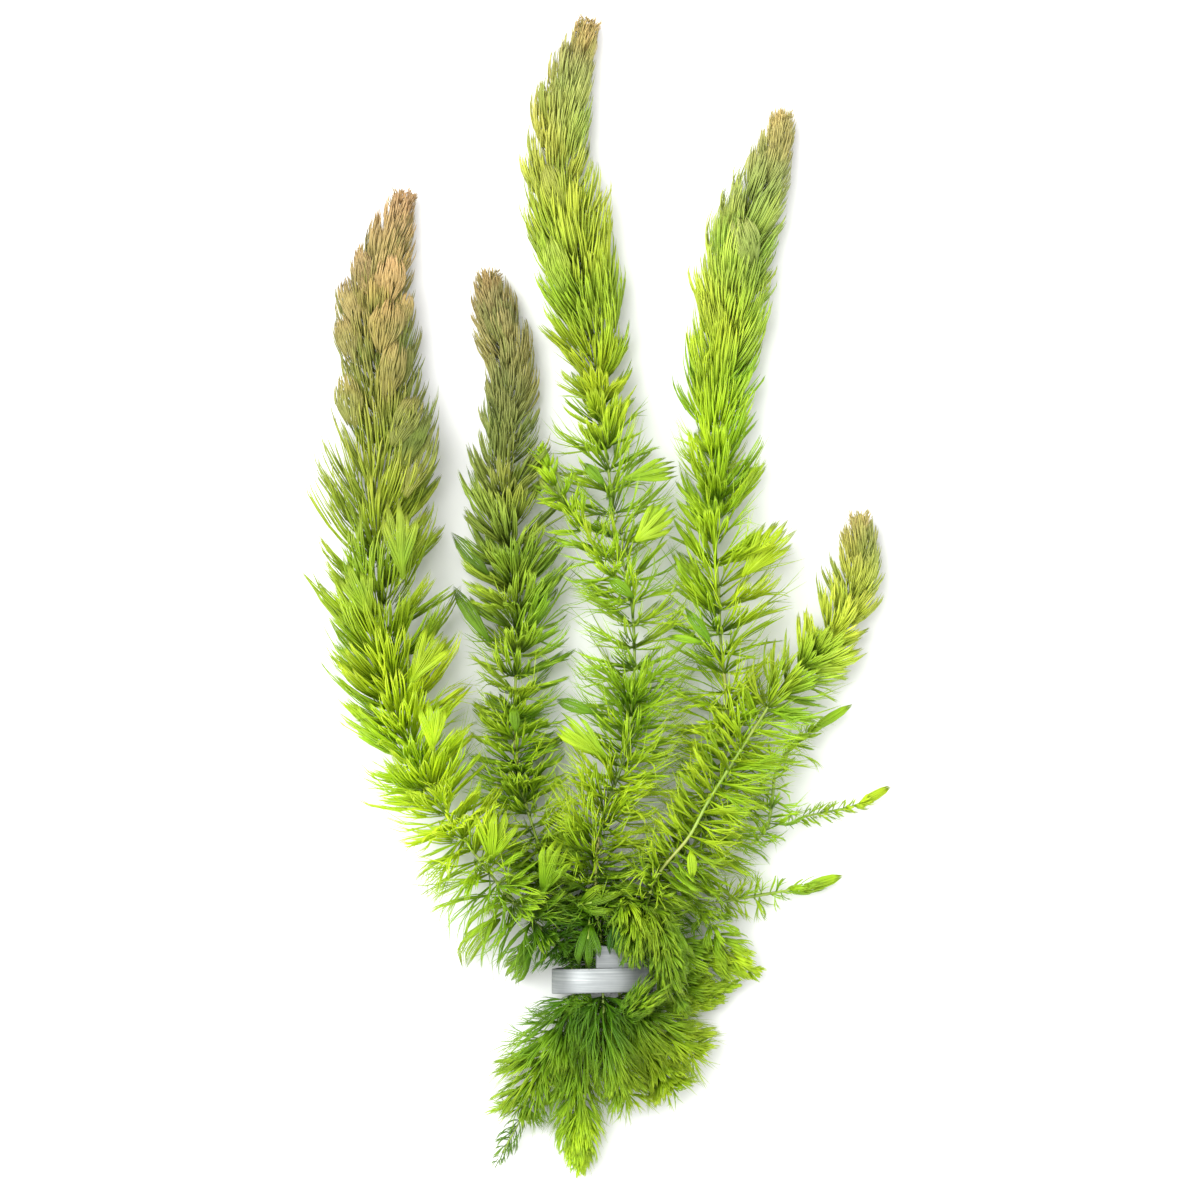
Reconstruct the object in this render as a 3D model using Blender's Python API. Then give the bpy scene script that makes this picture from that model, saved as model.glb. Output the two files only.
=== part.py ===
"""A cut bunch of hornwort, lying down: shoots and side shoots of leaf whorls, held by a wound lead strip.

Metres, +Z up. The bunch lies on the plane z = 0 with its growing tips towards +Y and its cut ends towards -Y.
The origin is in the flat underside of the strip. Sizes below are in millimetres until a mesh is made.
"""

import bmesh
import bpy
import numpy as np

MM = 0.001

# The lead strip, wound once and a third round the stems
STRIP_WIDTH = 6.2
STRIP_THICKNESS = 1.0
STRIP_LAP_GAP = 0.3
STRIP_HALF_SPAN = 12.9
STRIP_HEIGHT = 17.6
STRIP_CENTRE_X = 0.8
STRIP_SQUARENESS = 2.5
STRIP_UNDERSIDE_PRESS = 1.19
STRIP_INNER_END = 0.53 * np.pi
STRIP_OUTER_END = -1.87 * np.pi
STRIP_STEP_START = -0.12 * np.pi
STRIP_STEP_LENGTH = 0.24 * np.pi
STRIP_INNER_RISE = 6.6
STRIP_OUTER_RISE = 1.1
STRIP_CUT_LENGTH = 0.2 * np.pi
STRIP_POINT_WIDTH = 0.6
STRIP_STATIONS = 40
STRIP_ROOM = 1.6

# The foliage
STEM_RADIUS = 1.0
FULL_STEM_REACH = 2.5
BARE_HALF_LENGTH = 4.4
BARE_STEP = 4.5
FIRST_WHORL = 1.6
LEAST_PITCH = 0.45
FULL_PITCH_REACH = 20.0
NOTCH = 0.6
END_TAPER = 0.4
GAP = 0.5
FLOOR_SOFTNESS = 1.2
SITE_STEP = 1.2
SHARE_OF_REACH = 0.3
SIDE_SHARE_OF_REACH = 0.75
LEAST_ROOM = 1.0
MOST_ROOM = 5.0
LEAF_LENGTH_SPREAD = 0.09
LEAF_TURN_SPREAD = 0.16
DRAWING_STEPS = 26
DRAWING_FACTOR = 0.86

# Points of each stem from its cut end to its growing tip: x, y, z, the reach of its leaves, how much more of it
# goes to the right than to the left, their angle to the stem in degrees, and how much of the reach is closed
SHOOT_LEFT = [
    (-19.5, -32.0, 6.0, 8.0, 0.0, 150, 0.42),
    (-15.0, -22.0, 7.5, 11.5, -0.1, 142, 0.42),
    (-10.0, -12.0, 9.5, 9.5, -0.2, 138, 0.45),
    (-7.0, -5.5, 10.5, 3.3, 0.0, 120, 0.90),
    (-6.6, 0.0, 10.6, 3.1, 0.0, 90, 1.00),
    (-8.0, 6.0, 11.0, 3.6, 0.0, 95, 0.80),
    (-14.0, 12.5, 12.5, 15.0, -0.1, 104, 0.34),
    (-22.5, 21.0, 14.0, 18.5, -0.1, 98, 0.34),
    (-33.0, 34.5, 15.0, 18.0, -0.05, 84, 0.36),
    (-41.5, 46.5, 14.5, 16.8, 0.05, 66, 0.38),
    (-47.0, 58.0, 14.0, 17.6, 0.15, 53, 0.40),
    (-51.2, 70.5, 13.5, 18.6, 0.1, 48, 0.43),
    (-54.5, 90.0, 13.0, 18.6, 0.0, 45, 0.46),
    (-55.5, 108.0, 12.5, 18.0, 0.0, 43, 0.46),
    (-55.0, 127.0, 11.0, 16.0, 0.08, 40, 0.48),
    (-54.7, 140.0, 9.5, 13.6, 0.08, 38, 0.50),
    (-55.8, 158.0, 8.0, 10.6, -0.05, 35, 0.52),
    (-55.0, 175.0, 7.0, 9.0, -0.1, 32, 0.55),
    (-51.2, 190.0, 6.0, 5.8, -0.1, 28, 0.58),
    (-48.8, 198.5, 5.5, 3.0, 0.0, 20, 0.60),
]
SHOOT_INNER_LEFT = [
    (-5.0, -43.5, 5.0, 5.4, 0.0, 154, 0.42),
    (-5.2, -30.0, 6.2, 9.4, -0.1, 148, 0.42),
    (-4.5, -17.0, 6.4, 10.0, -0.1, 142, 0.42),
    (-3.5, -6.0, 5.1, 3.3, 0.0, 120, 0.90),
    (-3.3, 0.0, 4.9, 3.1, 0.0, 90, 1.00),
    (-4.0, 6.0, 5.0, 3.4, 0.0, 80, 0.90),
    (-8.7, 15.5, 5.8, 11.0, 0.0, 76, 0.36),
    (-15.0, 33.0, 6.8, 13.5, 0.0, 72, 0.34),
    (-19.5, 48.0, 7.6, 14.0, 0.0, 70, 0.34),
    (-21.2, 61.2, 8.2, 13.0, 0.1, 70, 0.32),
    (-21.2, 73.0, 8.6, 13.0, 0.1, 68, 0.30),
    (-20.7, 85.5, 9.0, 15.0, 0.0, 60, 0.32),
    (-21.0, 95.5, 9.0, 16.0, 0.05, 54, 0.36),
    (-22.5, 108.0, 9.0, 14.6, 0.15, 48, 0.40),
    (-23.7, 120.5, 9.0, 14.0, 0.15, 44, 0.44),
    (-24.2, 130.0, 8.4, 13.6, 0.1, 40, 0.46),
    (-23.4, 141.0, 7.0, 8.6, 0.2, 35, 0.52),
    (-23.5, 155.0, 6.0, 6.2, 0.0, 32, 0.56),
    (-26.8, 170.5, 5.2, 5.2, 0.0, 30, 0.58),
    (-28.0, 179.0, 4.6, 2.6, 0.0, 20, 0.60),
]
SHOOT_CENTRE = [
    (7.0, -29.0, 9.0, 7.0, 0.0, 144, 0.40),
    (3.6, -19.0, 11.6, 10.0, 0.0, 140, 0.36),
    (1.4, -11.5, 12.4, 11.0, 0.0, 140, 0.34),
    (0.8, -5.5, 12.0, 3.3, 0.0, 120, 0.90),
    (0.8, 0.0, 11.8, 3.1, 0.0, 90, 1.00),
    (0.6, 8.5, 11.9, 3.4, 0.0, 80, 0.90),
    (-1.0, 20.5, 14.2, 13.0, 0.0, 78, 0.34),
    (-0.7, 33.0, 16.0, 15.5, 0.0, 75, 0.32),
    (1.5, 43.5, 16.0, 16.5, 0.0, 74, 0.32),
    (6.2, 56.7, 14.4, 16.5, 0.0, 72, 0.30),
    (8.2, 70.5, 13.0, 16.8, 0.0, 70, 0.30),
    (8.6, 84.2, 12.4, 16.8, 0.0, 68, 0.30),
    (7.2, 99.5, 12.0, 17.0, 0.0, 66, 0.30),
    (3.6, 112.0, 11.6, 16.5, 0.0, 64, 0.32),
    (2.5, 125.0, 11.2, 16.0, 0.0, 60, 0.34),
    (0.6, 139.0, 10.5, 14.5, 0.0, 54, 0.38),
    (-0.2, 150.0, 9.0, 11.0, -0.1, 44, 0.46),
    (-2.0, 163.0, 8.2, 10.8, 0.05, 38, 0.50),
    (-5.6, 176.0, 7.6, 10.4, 0.1, 36, 0.50),
    (-9.2, 191.0, 7.4, 10.4, 0.0, 34, 0.52),
    (-10.2, 203.0, 7.0, 10.0, -0.15, 32, 0.52),
    (-9.4, 213.0, 6.2, 7.6, -0.2, 30, 0.55),
    (-6.5, 227.0, 5.4, 6.2, -0.15, 28, 0.58),
    (-2.6, 241.8, 4.8, 3.6, 0.0, 20, 0.60),
]
SHOOT_INNER_RIGHT = [
    (17.0, -25.5, 5.6, 8.0, 0.0, 144, 0.42),
    (11.6, -16.0, 6.2, 11.5, 0.1, 138, 0.42),
    (5.6, -6.0, 5.2, 3.3, 0.0, 120, 0.90),
    (4.9, 0.0, 4.9, 3.1, 0.0, 90, 1.00),
    (6.2, 6.0, 5.0, 3.4, 0.0, 85, 0.90),
    (14.0, 17.5, 5.8, 13.0, 0.1, 96, 0.34),
    (22.5, 32.0, 6.6, 16.5, 0.2, 90, 0.34),
    (29.0, 47.0, 7.2, 16.0, 0.1, 82, 0.34),
    (32.0, 60.5, 8.2, 15.0, -0.1, 78, 0.32),
    (31.5, 73.0, 9.0, 15.0, -0.1, 72, 0.32),
    (30.2, 85.5, 9.8, 16.0, 0.1, 66, 0.32),
    (29.8, 97.0, 10.2, 18.0, 0.2, 58, 0.34),
    (29.0, 107.0, 10.2, 17.6, 0.2, 52, 0.36),
    (29.2, 118.0, 9.8, 15.0, 0.15, 46, 0.40),
    (29.0, 133.0, 9.0, 12.6, -0.05, 42, 0.46),
    (30.0, 148.0, 8.2, 11.0, -0.05, 38, 0.50),
    (32.2, 164.0, 7.4, 9.4, -0.05, 36, 0.52),
    (34.3, 181.0, 7.0, 9.4, 0.0, 34, 0.52),
    (38.5, 194.0, 6.4, 8.4, -0.1, 32, 0.54),
    (43.5, 205.5, 5.4, 5.8, -0.1, 28, 0.58),
    (46.4, 219.0, 4.6, 2.8, 0.0, 20, 0.60),
]
SHOOT_RIGHT = [
    (23.5, -17.5, 7.4, 8.0, 0.0, 140, 0.40),
    (15.0, -12.0, 10.0, 10.0, 0.0, 138, 0.40),
    (8.8, -6.0, 10.8, 3.3, 0.0, 120, 0.90),
    (8.0, 0.0, 10.7, 3.1, 0.0, 90, 1.00),
    (8.4, 7.0, 11.3, 3.1, 0.0, 85, 0.90),
    (10.6, 16.0, 16.0, 11.0, 0.1, 88, 0.34),
    (14.4, 27.0, 20.0, 12.0, 0.1, 84, 0.32),
    (22.0, 36.5, 21.0, 12.5, 0.1, 80, 0.32),
    (27.0, 45.5, 20.0, 13.0, 0.1, 76, 0.32),
    (34.2, 56.7, 17.2, 14.0, 0.1, 70, 0.32),
    (39.5, 65.0, 14.8, 14.0, 0.1, 62, 0.34),
    (46.0, 74.0, 12.0, 13.0, 0.1, 54, 0.40),
    (54.0, 82.0, 9.6, 11.0, -0.05, 46, 0.44),
    (60.6, 90.5, 8.0, 9.8, -0.15, 42, 0.48),
    (64.2, 99.5, 6.8, 8.0, -0.15, 36, 0.52),
    (65.6, 109.5, 5.8, 5.6, -0.1, 30, 0.56),
    (65.2, 118.0, 5.0, 2.5, 0.0, 20, 0.60),
]

# Side shoots, each from beside its parent stem to its own tip, with the same seven numbers to a point
SIDE_SHOOTS = {
    "side_shoot_left_front": [
        (-27.2, 30.0, 20.6, 1.4, 0.0, 36, 0.60),
        (-26.6, 34.4, 23.0, 3.6, 0.0, 36, 0.55),
        (-25.8, 41.0, 24.6, 5.4, 0.0, 36, 0.50),
        (-25.2, 45.6, 25.0, 3.4, 0.0, 32, 0.50),
    ],
    "side_shoot_middle_front": [
        (-14.6, 21.4, 18.2, 1.4, 0.0, 36, 0.60),
        (-12.6, 27.5, 22.0, 3.0, 0.0, 36, 0.55),
        (-10.6, 33.0, 23.6, 4.4, 0.0, 36, 0.50),
        (-8.6, 36.6, 24.0, 2.8, 0.0, 32, 0.50),
    ],
    "side_shoot_across_front": [
        (-5.6, 19.6, 18.4, 1.4, 0.0, 40, 0.60),
        (-2.0, 20.4, 23.4, 3.0, 0.0, 38, 0.60),
        (4.0, 22.4, 24.6, 2.8, 0.0, 36, 0.60),
        (7.6, 23.4, 24.8, 1.2, 0.0, 32, 0.60),
    ],
    "side_shoot_over_strip": [
        (-2.6, 15.8, 17.6, 1.4, 0.0, 42, 0.60),
        (-3.0, 11.5, 20.2, 2.8, 0.0, 38, 0.60),
        (-3.0, 6.5, 21.0, 3.2, 0.0, 34, 0.60),
        (-2.8, 2.6, 20.8, 1.6, 0.0, 30, 0.60),
    ],
    "side_shoot_left_low": [
        (-25.0, 15.6, 9.4, 1.4, 0.0, 30, 0.60),
        (-30.4, 11.6, 7.6, 3.2, 0.0, 30, 0.50),
        (-33.6, 7.0, 6.4, 3.4, 0.0, 26, 0.50),
        (-34.2, 2.0, 5.4, 1.4, 0.0, 20, 0.50),
    ],
    "side_shoot_left_under": [
        (-16.8, 8.4, 8.8, 1.4, 0.0, 30, 0.60),
        (-20.4, 3.8, 7.4, 3.0, 0.0, 30, 0.50),
        (-23.0, 0.6, 6.4, 2.4, 0.0, 26, 0.50),
        (-24.6, -1.4, 6.0, 1.0, 0.0, 20, 0.50),
    ],
    "side_shoot_right_upper": [
        (34.2, 35.6, 7.4, 1.2, 0.0, 50, 0.60),
        (38.4, 34.6, 8.0, 1.6, 0.0, 60, 0.40),
        (42.0, 39.0, 8.4, 6.0, 0.3, 68, 0.20),
        (43.2, 46.0, 8.6, 8.5, 0.2, 70, 0.20),
        (44.0, 52.0, 8.4, 9.0, 0.2, 62, 0.24),
        (47.5, 58.0, 7.8, 8.6, 0.3, 50, 0.30),
        (53.5, 63.0, 6.8, 2.2, 0.0, 30, 0.50),
        (59.0, 66.6, 6.0, 1.6, 0.0, 16, 0.70),
        (63.6, 69.4, 5.4, 0.9, 0.0, 12, 0.70),
    ],
    "side_shoot_right_tip": [
        (46.4, 38.8, 6.6, 1.1, 0.0, 50, 0.60),
        (51.0, 41.0, 6.0, 2.8, 0.0, 56, 0.30),
        (57.5, 42.4, 5.2, 3.4, 0.0, 50, 0.30),
        (63.0, 43.6, 4.6, 2.0, 0.0, 40, 0.40),
        (68.0, 45.8, 4.2, 1.8, 0.0, 16, 0.75),
        (73.4, 49.0, 3.8, 0.9, 0.0, 12, 0.75),
    ],
    "side_shoot_right_low": [
        (25.0, 20.0, 6.4, 1.2, 0.0, 50, 0.60),
        (29.4, 19.6, 6.4, 1.6, 0.0, 60, 0.50),
        (34.0, 20.4, 6.0, 6.2, 0.0, 66, 0.30),
        (40.0, 21.4, 5.6, 7.0, 0.0, 62, 0.30),
        (46.0, 22.4, 5.0, 4.6, 0.0, 50, 0.34),
        (51.5, 23.4, 4.6, 2.2, 0.0, 20, 0.65),
        (57.0, 25.0, 4.2, 2.0, 0.0, 16, 0.70),
        (61.4, 26.4, 3.8, 0.9, 0.0, 12, 0.70),
    ],
    "side_shoot_drooping": [
        (24.6, 19.6, 10.4, 1.2, 0.0, 30, 0.70),
        (28.2, 13.6, 11.6, 1.6, 0.0, 30, 0.60),
        (31.0, 8.6, 10.0, 4.6, 0.0, 34, 0.45),
        (35.4, 4.4, 8.0, 5.4, 0.0, 32, 0.45),
        (40.0, 1.6, 6.2, 2.0, 0.0, 26, 0.50),
    ],
    "side_shoot_beside_strip": [
        (13.2, 6.6, 7.0, 1.2, 0.0, 30, 0.60),
        (16.4, 2.8, 7.4, 1.8, 0.0, 30, 0.60),
        (19.8, -0.6, 7.4, 4.6, 0.0, 34, 0.50),
        (25.4, -2.2, 6.6, 4.8, 0.0, 32, 0.50),
        (31.0, -1.6, 5.6, 3.2, 0.0, 28, 0.50),
        (35.0, -0.8, 4.8, 1.4, 0.0, 22, 0.50),
    ],
    "side_shoot_right_front": [
        (13.8, 12.8, 18.8, 1.4, 0.0, 38, 0.60),
        (17.4, 8.6, 18.6, 3.4, 0.0, 38, 0.50),
        (20.4, 4.4, 16.4, 4.0, 0.0, 34, 0.50),
        (22.4, 0.8, 14.4, 1.8, 0.0, 30, 0.50),
    ],
    "side_shoot_bud": [
        (22.4, 33.4, 26.2, 0.9, 0.0, 30, 0.80),
        (22.8, 30.4, 27.2, 1.7, 0.0, 26, 0.80),
        (22.9, 26.0, 26.8, 0.9, 0.0, 20, 0.80),
    ],
    "side_shoot_centre": [
        (7.4, 110.4, 16.4, 1.3, 0.0, 38, 0.60),
        (11.0, 112.4, 18.4, 3.2, 0.0, 38, 0.55),
        (15.6, 116.0, 19.0, 3.6, 0.0, 36, 0.55),
        (19.2, 119.0, 19.0, 1.8, 0.0, 32, 0.55),
    ],
    "side_shoot_cut_end": [
        (-19.4, -34.0, 5.2, 1.1, 0.0, 20, 0.60),
        (-23.4, -41.4, 4.2, 2.6, 0.0, 34, 0.40),
        (-26.2, -46.6, 3.6, 1.4, 0.0, 22, 0.45),
    ],
}

# How many leaf tufts go round a whorl, how far apart the whorls stand, and the seed of their unevenness
MAIN_SHOOTS = {
    "shoot_left": (SHOOT_LEFT, 9, 8.8, 11),
    "shoot_inner_left": (SHOOT_INNER_LEFT, 8, 8.6, 12),
    "shoot_centre": (SHOOT_CENTRE, 8, 8.6, 13),
    "shoot_inner_right": (SHOOT_INNER_RIGHT, 8, 8.6, 14),
    "shoot_right": (SHOOT_RIGHT, 8, 8.2, 15),
}
SIDE_TUFTS = 5
SIDE_PITCH = 5.0

# Colour, roughness and metallic value
OLIVE = ((0.16, 0.20, 0.04), 0.55, 0.0)
LIME = ((0.26, 0.42, 0.04), 0.5, 0.0)
DARK_GREEN = ((0.07, 0.14, 0.03), 0.6, 0.0)
LEAD = ((0.55, 0.56, 0.58), 0.38, 0.9)


def curve_through(rows, steps=12):
    """Catmull-Rom curve through the rows, with the same number of steps between each pair."""
    rows = np.array(rows, float)
    knots = np.vstack([2 * rows[0] - rows[1], rows, 2 * rows[-1] - rows[-2]])
    t = np.linspace(0.0, 1.0, steps, endpoint=False)[:, None]
    spans = []
    for a, b, c, d in zip(knots, knots[1:], knots[2:], knots[3:]):
        bend = (2 * a - 5 * b + 4 * c - d) * t**2 + (3 * b - a - 3 * c + d) * t**3
        spans.append(0.5 * (2 * b + (c - a) * t + bend))
    return np.vstack([*spans, rows[-1:]])


class Stem:
    """A stem's centre line, with the reach, the angle and the closeness of its leaves along it."""

    def __init__(self, rows, share):
        line = curve_through(rows)
        self.points = line[:, :3]
        self.distance = np.concatenate([[0.0], np.cumsum(np.linalg.norm(np.diff(self.points, axis=0), axis=1))])
        self.length = self.distance[-1]
        self.reach = np.clip(line[:, 3], 0.9, None)
        self.lean = line[:, 4]
        self.angle = line[:, 5]
        self.fill = np.clip(line[:, 6], 0.1, 1.0)
        self.heading = np.gradient(self.points, self.distance, axis=0)
        self.share = share

    def read(self, values, s):
        return np.interp(s, self.distance, values)

    def centre(self, s):
        """Centre and heading at distance s. Past either end the stem runs on straight."""
        inside = np.clip(s, 0.0, self.length)
        point = np.stack([self.read(self.points[:, i], inside) for i in range(3)], axis=-1)
        heading = np.stack([self.read(self.heading[:, i], inside) for i in range(3)], axis=-1)
        heading /= np.linalg.norm(heading, axis=-1, keepdims=True)
        return point + heading * (s - inside)[..., None], heading

    def place(self, s, out, turn):
        """The point at distance s along the stem and out from it, turned round it from its side to its top."""
        point, heading = self.centre(s)
        side = np.cross(heading, (0.0, 0.0, 1.0))
        side /= np.linalg.norm(side, axis=-1, keepdims=True)
        top = np.cross(side, heading)
        return point + out[..., None] * (np.cos(turn)[..., None] * side + np.sin(turn)[..., None] * top)

    def core(self, s):
        """How far out the leaves stand closed together, or the bare stem's own radius."""
        reach = self.read(self.reach, s)
        return np.maximum(STEM_RADIUS * np.minimum(reach / FULL_STEM_REACH, 1.0), self.read(self.fill, s) * reach)

    def sites(self):
        """Points along the stem with the radius of the room that it may claim there."""
        s = np.arange(0.0, self.length, SITE_STEP)
        room = np.clip(self.share * self.read(self.reach, s), LEAST_ROOM, MOST_ROOM)
        return np.column_stack([self.centre(s)[0], room])


def clears(points, own, others):
    """True where a point is on its own stem's side of the plane that parts it from each other piece."""
    def nearest(sites):
        squares = ((points[:, None, :] - sites[None, :, :3]) ** 2).sum(axis=2)
        powers = squares - sites[None, :, 3] ** 2
        pick = powers.argmin(axis=1)
        rows = np.arange(len(points))
        return powers[rows, pick], np.sqrt(squares[rows, pick])

    own_power, _ = nearest(own)
    other_power, other_distance = nearest(others)
    return own_power + 2 * GAP * other_distance < other_power


def drawn_in(place, amount, own, others):
    """Draws points in towards their stem, in small steps, until each keeps to its own room."""
    for _ in range(DRAWING_STEPS):
        crowded = ~clears(place(amount), own, others)
        amount = np.where(crowded, amount * DRAWING_FACTOR, amount)
    return amount


def whorls_of(stem, pitch):
    """Where each whorl starts and ends. Short leaves stand closer, and under the strip there are none."""
    marks = [FIRST_WHORL]
    while marks[-1] < stem.length - FIRST_WHORL:
        reach = stem.read(stem.reach, marks[-1])
        marks.append(marks[-1] + pitch * min(LEAST_PITCH + 2 * reach / FULL_PITCH_REACH, 1.0))
    marks[-1] = stem.length
    whorls = []
    for start, end in zip(marks, marks[1:]):
        y = stem.centre(np.array([start, end]))[0][:, 1]
        under_strip = y.min() < BARE_HALF_LENGTH and y.max() > -BARE_HALF_LENGTH
        if stem.share == SIDE_SHARE_OF_REACH or not under_strip:
            whorls.append((start, end))
    return whorls


def stem_ring(stem, s, tufts, parity, keep, part=1.0):
    """A ring of points round the stem, as far out as its closed leaves or a part of that."""
    turn = (2 * np.arange(tufts) + parity) * np.pi / tufts
    s = np.full(tufts, float(s))
    out = drawn_in(lambda out: stem.place(s, out, turn), part * stem.core(s), *keep)
    return stem.place(s, out, turn)


def tip_ring(stem, start, end, tufts, parity, keep, random):
    """The tips of one whorl's tufts with the notches between them. Tufts past a right angle point back."""
    count = 2 * tufts
    is_tip = np.arange(count) % 2 == 0
    sway = np.where(is_tip, random.uniform(-1, 1, count), 0) * LEAF_TURN_SPREAD
    turn = (np.arange(count) + parity + sway) * np.pi / tufts
    angle = np.radians(stem.read(stem.angle, start))
    root = np.full(count, end if angle > np.pi / 2 else start)
    base = drawn_in(lambda out: stem.place(root, out, turn), stem.core(root), *keep)
    first_guess = root + stem.read(stem.reach, root) / np.tan(angle)
    reach = stem.read(stem.reach, first_guess)
    ahead = np.minimum(reach / np.tan(angle), stem.length - root)
    reach = reach * (1 + stem.read(stem.lean, root) * np.cos(turn))

    def place(share):
        return stem.place(root + share * ahead, base + share * (reach - base), turn)

    share = np.where(is_tip, 1.0, NOTCH) * (1 + random.uniform(-1, 1, count) * LEAF_LENGTH_SPREAD)
    return place(drawn_in(place, share, *keep))


def foliage_mesh(name, stem, tufts, pitch, seed, others):
    """One closed crown of tufts after another along the stem: stem ring, tips and notches, stem ring."""
    random = np.random.default_rng(seed)
    keep = (stem.sites(), others)
    rings = [stem_ring(stem, 0.0, tufts, 0, keep)]
    last = 0.0
    parity = 0
    for start, end in whorls_of(stem, pitch):
        steps = int(np.ceil((start - last) / BARE_STEP))
        for s in np.linspace(last, start, steps + 1)[1:]:
            rings.append(stem_ring(stem, s, tufts, parity, keep))
        rings.append(tip_ring(stem, start, end, tufts, parity, keep, random))
        parity += 1
        part = END_TAPER if end == stem.length else 1.0
        rings.append(stem_ring(stem, end, tufts, parity, keep, part))
        last = end
    return closed_mesh(name, rings, tufts, stem)


def closed_mesh(name, rings, tufts, stem):
    """Joins the rings with triangles, closes both ends with a point, and rests what is low on the floor."""
    ends = stem.place(np.array([-0.3, stem.length + 0.5]), np.zeros(2), np.zeros(2))
    points = [ends[:1]]
    starts = []
    count = 1
    for ring in rings:
        starts.append(count)
        points.append(ring)
        count += len(ring)
    points.append(ends[1:])
    faces = []
    k = np.arange(tufts)
    after = (k + 1) % tufts

    def add(a, b, c):
        faces.extend(zip(a.tolist(), b.tolist(), c.tolist()))

    for ring, next_ring, a, b in zip(rings, rings[1:], starts, starts[1:]):
        if len(ring) == len(next_ring):
            add(a + k, b + k, a + after)
            add(a + after, b + k, b + after)
        elif len(next_ring) > len(ring):
            add(a + k, b + 2 * k, b + 2 * k + 1)
            add(a + k, b + 2 * k + 1, a + after)
            add(a + after, b + 2 * k + 1, b + 2 * after)
        else:
            add(a + 2 * k, b + k, a + 2 * k + 1)
            add(a + 2 * k + 1, b + k, a + 2 * after)
            add(a + 2 * after, b + k, b + after)
    first, last = starts[0], starts[-1]
    add(np.zeros(tufts, int), first + k, first + after)
    add(np.full(tufts, count), last + after, last + k)
    points = rest_on_floor(np.vstack(points))
    mesh = bpy.data.meshes.new(name)
    mesh.from_pydata((points * MM).tolist(), [], faces)
    return mesh


def rest_on_floor(points):
    """Leaves below the floor lie flat just above it: height becomes w times ln(1 + exp(height / w))."""
    points = points.copy()
    height = points[:, 2] / FLOOR_SOFTNESS
    points[:, 2] = FLOOR_SOFTNESS * np.logaddexp(0.0, height)
    return points


def face_outwards(mesh):
    work = bmesh.new()
    work.from_mesh(mesh)
    bmesh.ops.recalc_face_normals(work, faces=work.faces)
    work.to_mesh(mesh)
    work.free()


def strip_line():
    """Middle of the strip's thickness along its winding, its outward direction, and its two edges along Y."""
    turn = np.linspace(STRIP_INNER_END, STRIP_OUTER_END, STRIP_STATIONS)
    power = 2.0 / STRIP_SQUARENESS
    half = STRIP_THICKNESS / 2
    across = (STRIP_HALF_SPAN - half) * np.sign(np.cos(turn)) * np.abs(np.cos(turn)) ** power
    height = (STRIP_HEIGHT / 2 - half) * np.sign(np.sin(turn)) * np.abs(np.sin(turn)) ** power
    height = np.where(height < 0, height * STRIP_UNDERSIDE_PRESS, height)
    height = np.maximum(STRIP_HEIGHT / 2 + height, half)
    middle = np.column_stack([STRIP_CENTRE_X + across, np.zeros_like(turn), height])
    heading = np.gradient(middle, axis=0)
    heading /= np.linalg.norm(heading, axis=1, keepdims=True)
    outward = np.cross(heading, (0.0, 1.0, 0.0))
    outward[height == half] = (0.0, 0.0, -1.0)
    inner_layer = np.clip((turn - STRIP_STEP_START) / STRIP_STEP_LENGTH, 0.0, 1.0)
    inner_layer = inner_layer**2 * (3 - 2 * inner_layer)
    middle -= outward * (inner_layer * (STRIP_THICKNESS + STRIP_LAP_GAP))[:, None]
    drift = STRIP_INNER_RISE * np.clip(turn / STRIP_INNER_END, 0.0, 1.0)
    drift += STRIP_OUTER_RISE * np.clip((-np.pi - turn) / (-np.pi - STRIP_OUTER_END), 0.0, 1.0)
    low = drift - STRIP_WIDTH / 2
    high = drift + STRIP_WIDTH / 2
    cut = np.clip((STRIP_OUTER_END + STRIP_CUT_LENGTH - turn) / STRIP_CUT_LENGTH, 0.0, 1.0)
    low += cut * (STRIP_WIDTH - STRIP_POINT_WIDTH)
    return middle, outward, low, high


def strip_mesh():
    """The strip's four edges, joined station by station, with a face at each end."""
    middle, outward, low, high = strip_line()
    half = STRIP_THICKNESS / 2
    corners = []
    for side, edge in ((half, low), (half, high), (-half, high), (-half, low)):
        corner = middle + side * outward
        corner[:, 1] = edge
        corners.append(corner)
    points = np.stack(corners, axis=1).reshape(-1, 3)
    faces = []
    for station in range(STRIP_STATIONS - 1):
        a, b = 4 * station, 4 * station + 4
        for j in range(4):
            i = (j + 1) % 4
            faces.append((a + j, a + i, b + i, b + j))
    end = 4 * (STRIP_STATIONS - 1)
    faces.append((3, 2, 1, 0))
    faces.append((end, end + 1, end + 2, end + 3))
    mesh = bpy.data.meshes.new("weight_strip")
    mesh.from_pydata((points * MM).tolist(), [], faces)
    face_outwards(mesh)
    return mesh


def strip_sites():
    """Points over the strip with a small room each, so that leaves bend clear of it."""
    middle, _, low, high = strip_line()
    sites = []
    for part in (0.0, 0.33, 0.67, 1.0):
        line = middle.copy()
        line[:, 1] = low + part * (high - low)
        sites.append(np.column_stack([line, np.full(len(line), STRIP_ROOM)]))
    return np.vstack(sites)


def material(name, finish):
    """A Principled material of one colour, roughness and metallic value."""
    colour, roughness, metallic = finish
    made = bpy.data.materials.new(name)
    made.use_nodes = True
    shader = made.node_tree.nodes["Principled BSDF"]
    shader.inputs["Base Color"].default_value = (*colour, 1.0)
    shader.inputs["Roughness"].default_value = roughness
    shader.inputs["Metallic"].default_value = metallic
    return made


def add_object(mesh, finish, smooth=False):
    piece = bpy.data.objects.new(mesh.name, mesh)
    bpy.context.scene.collection.objects.link(piece)
    mesh.materials.append(finish)
    if smooth:
        mesh.shade_smooth()
        mesh.set_sharp_from_angle(angle=np.radians(35))
    return piece


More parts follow.
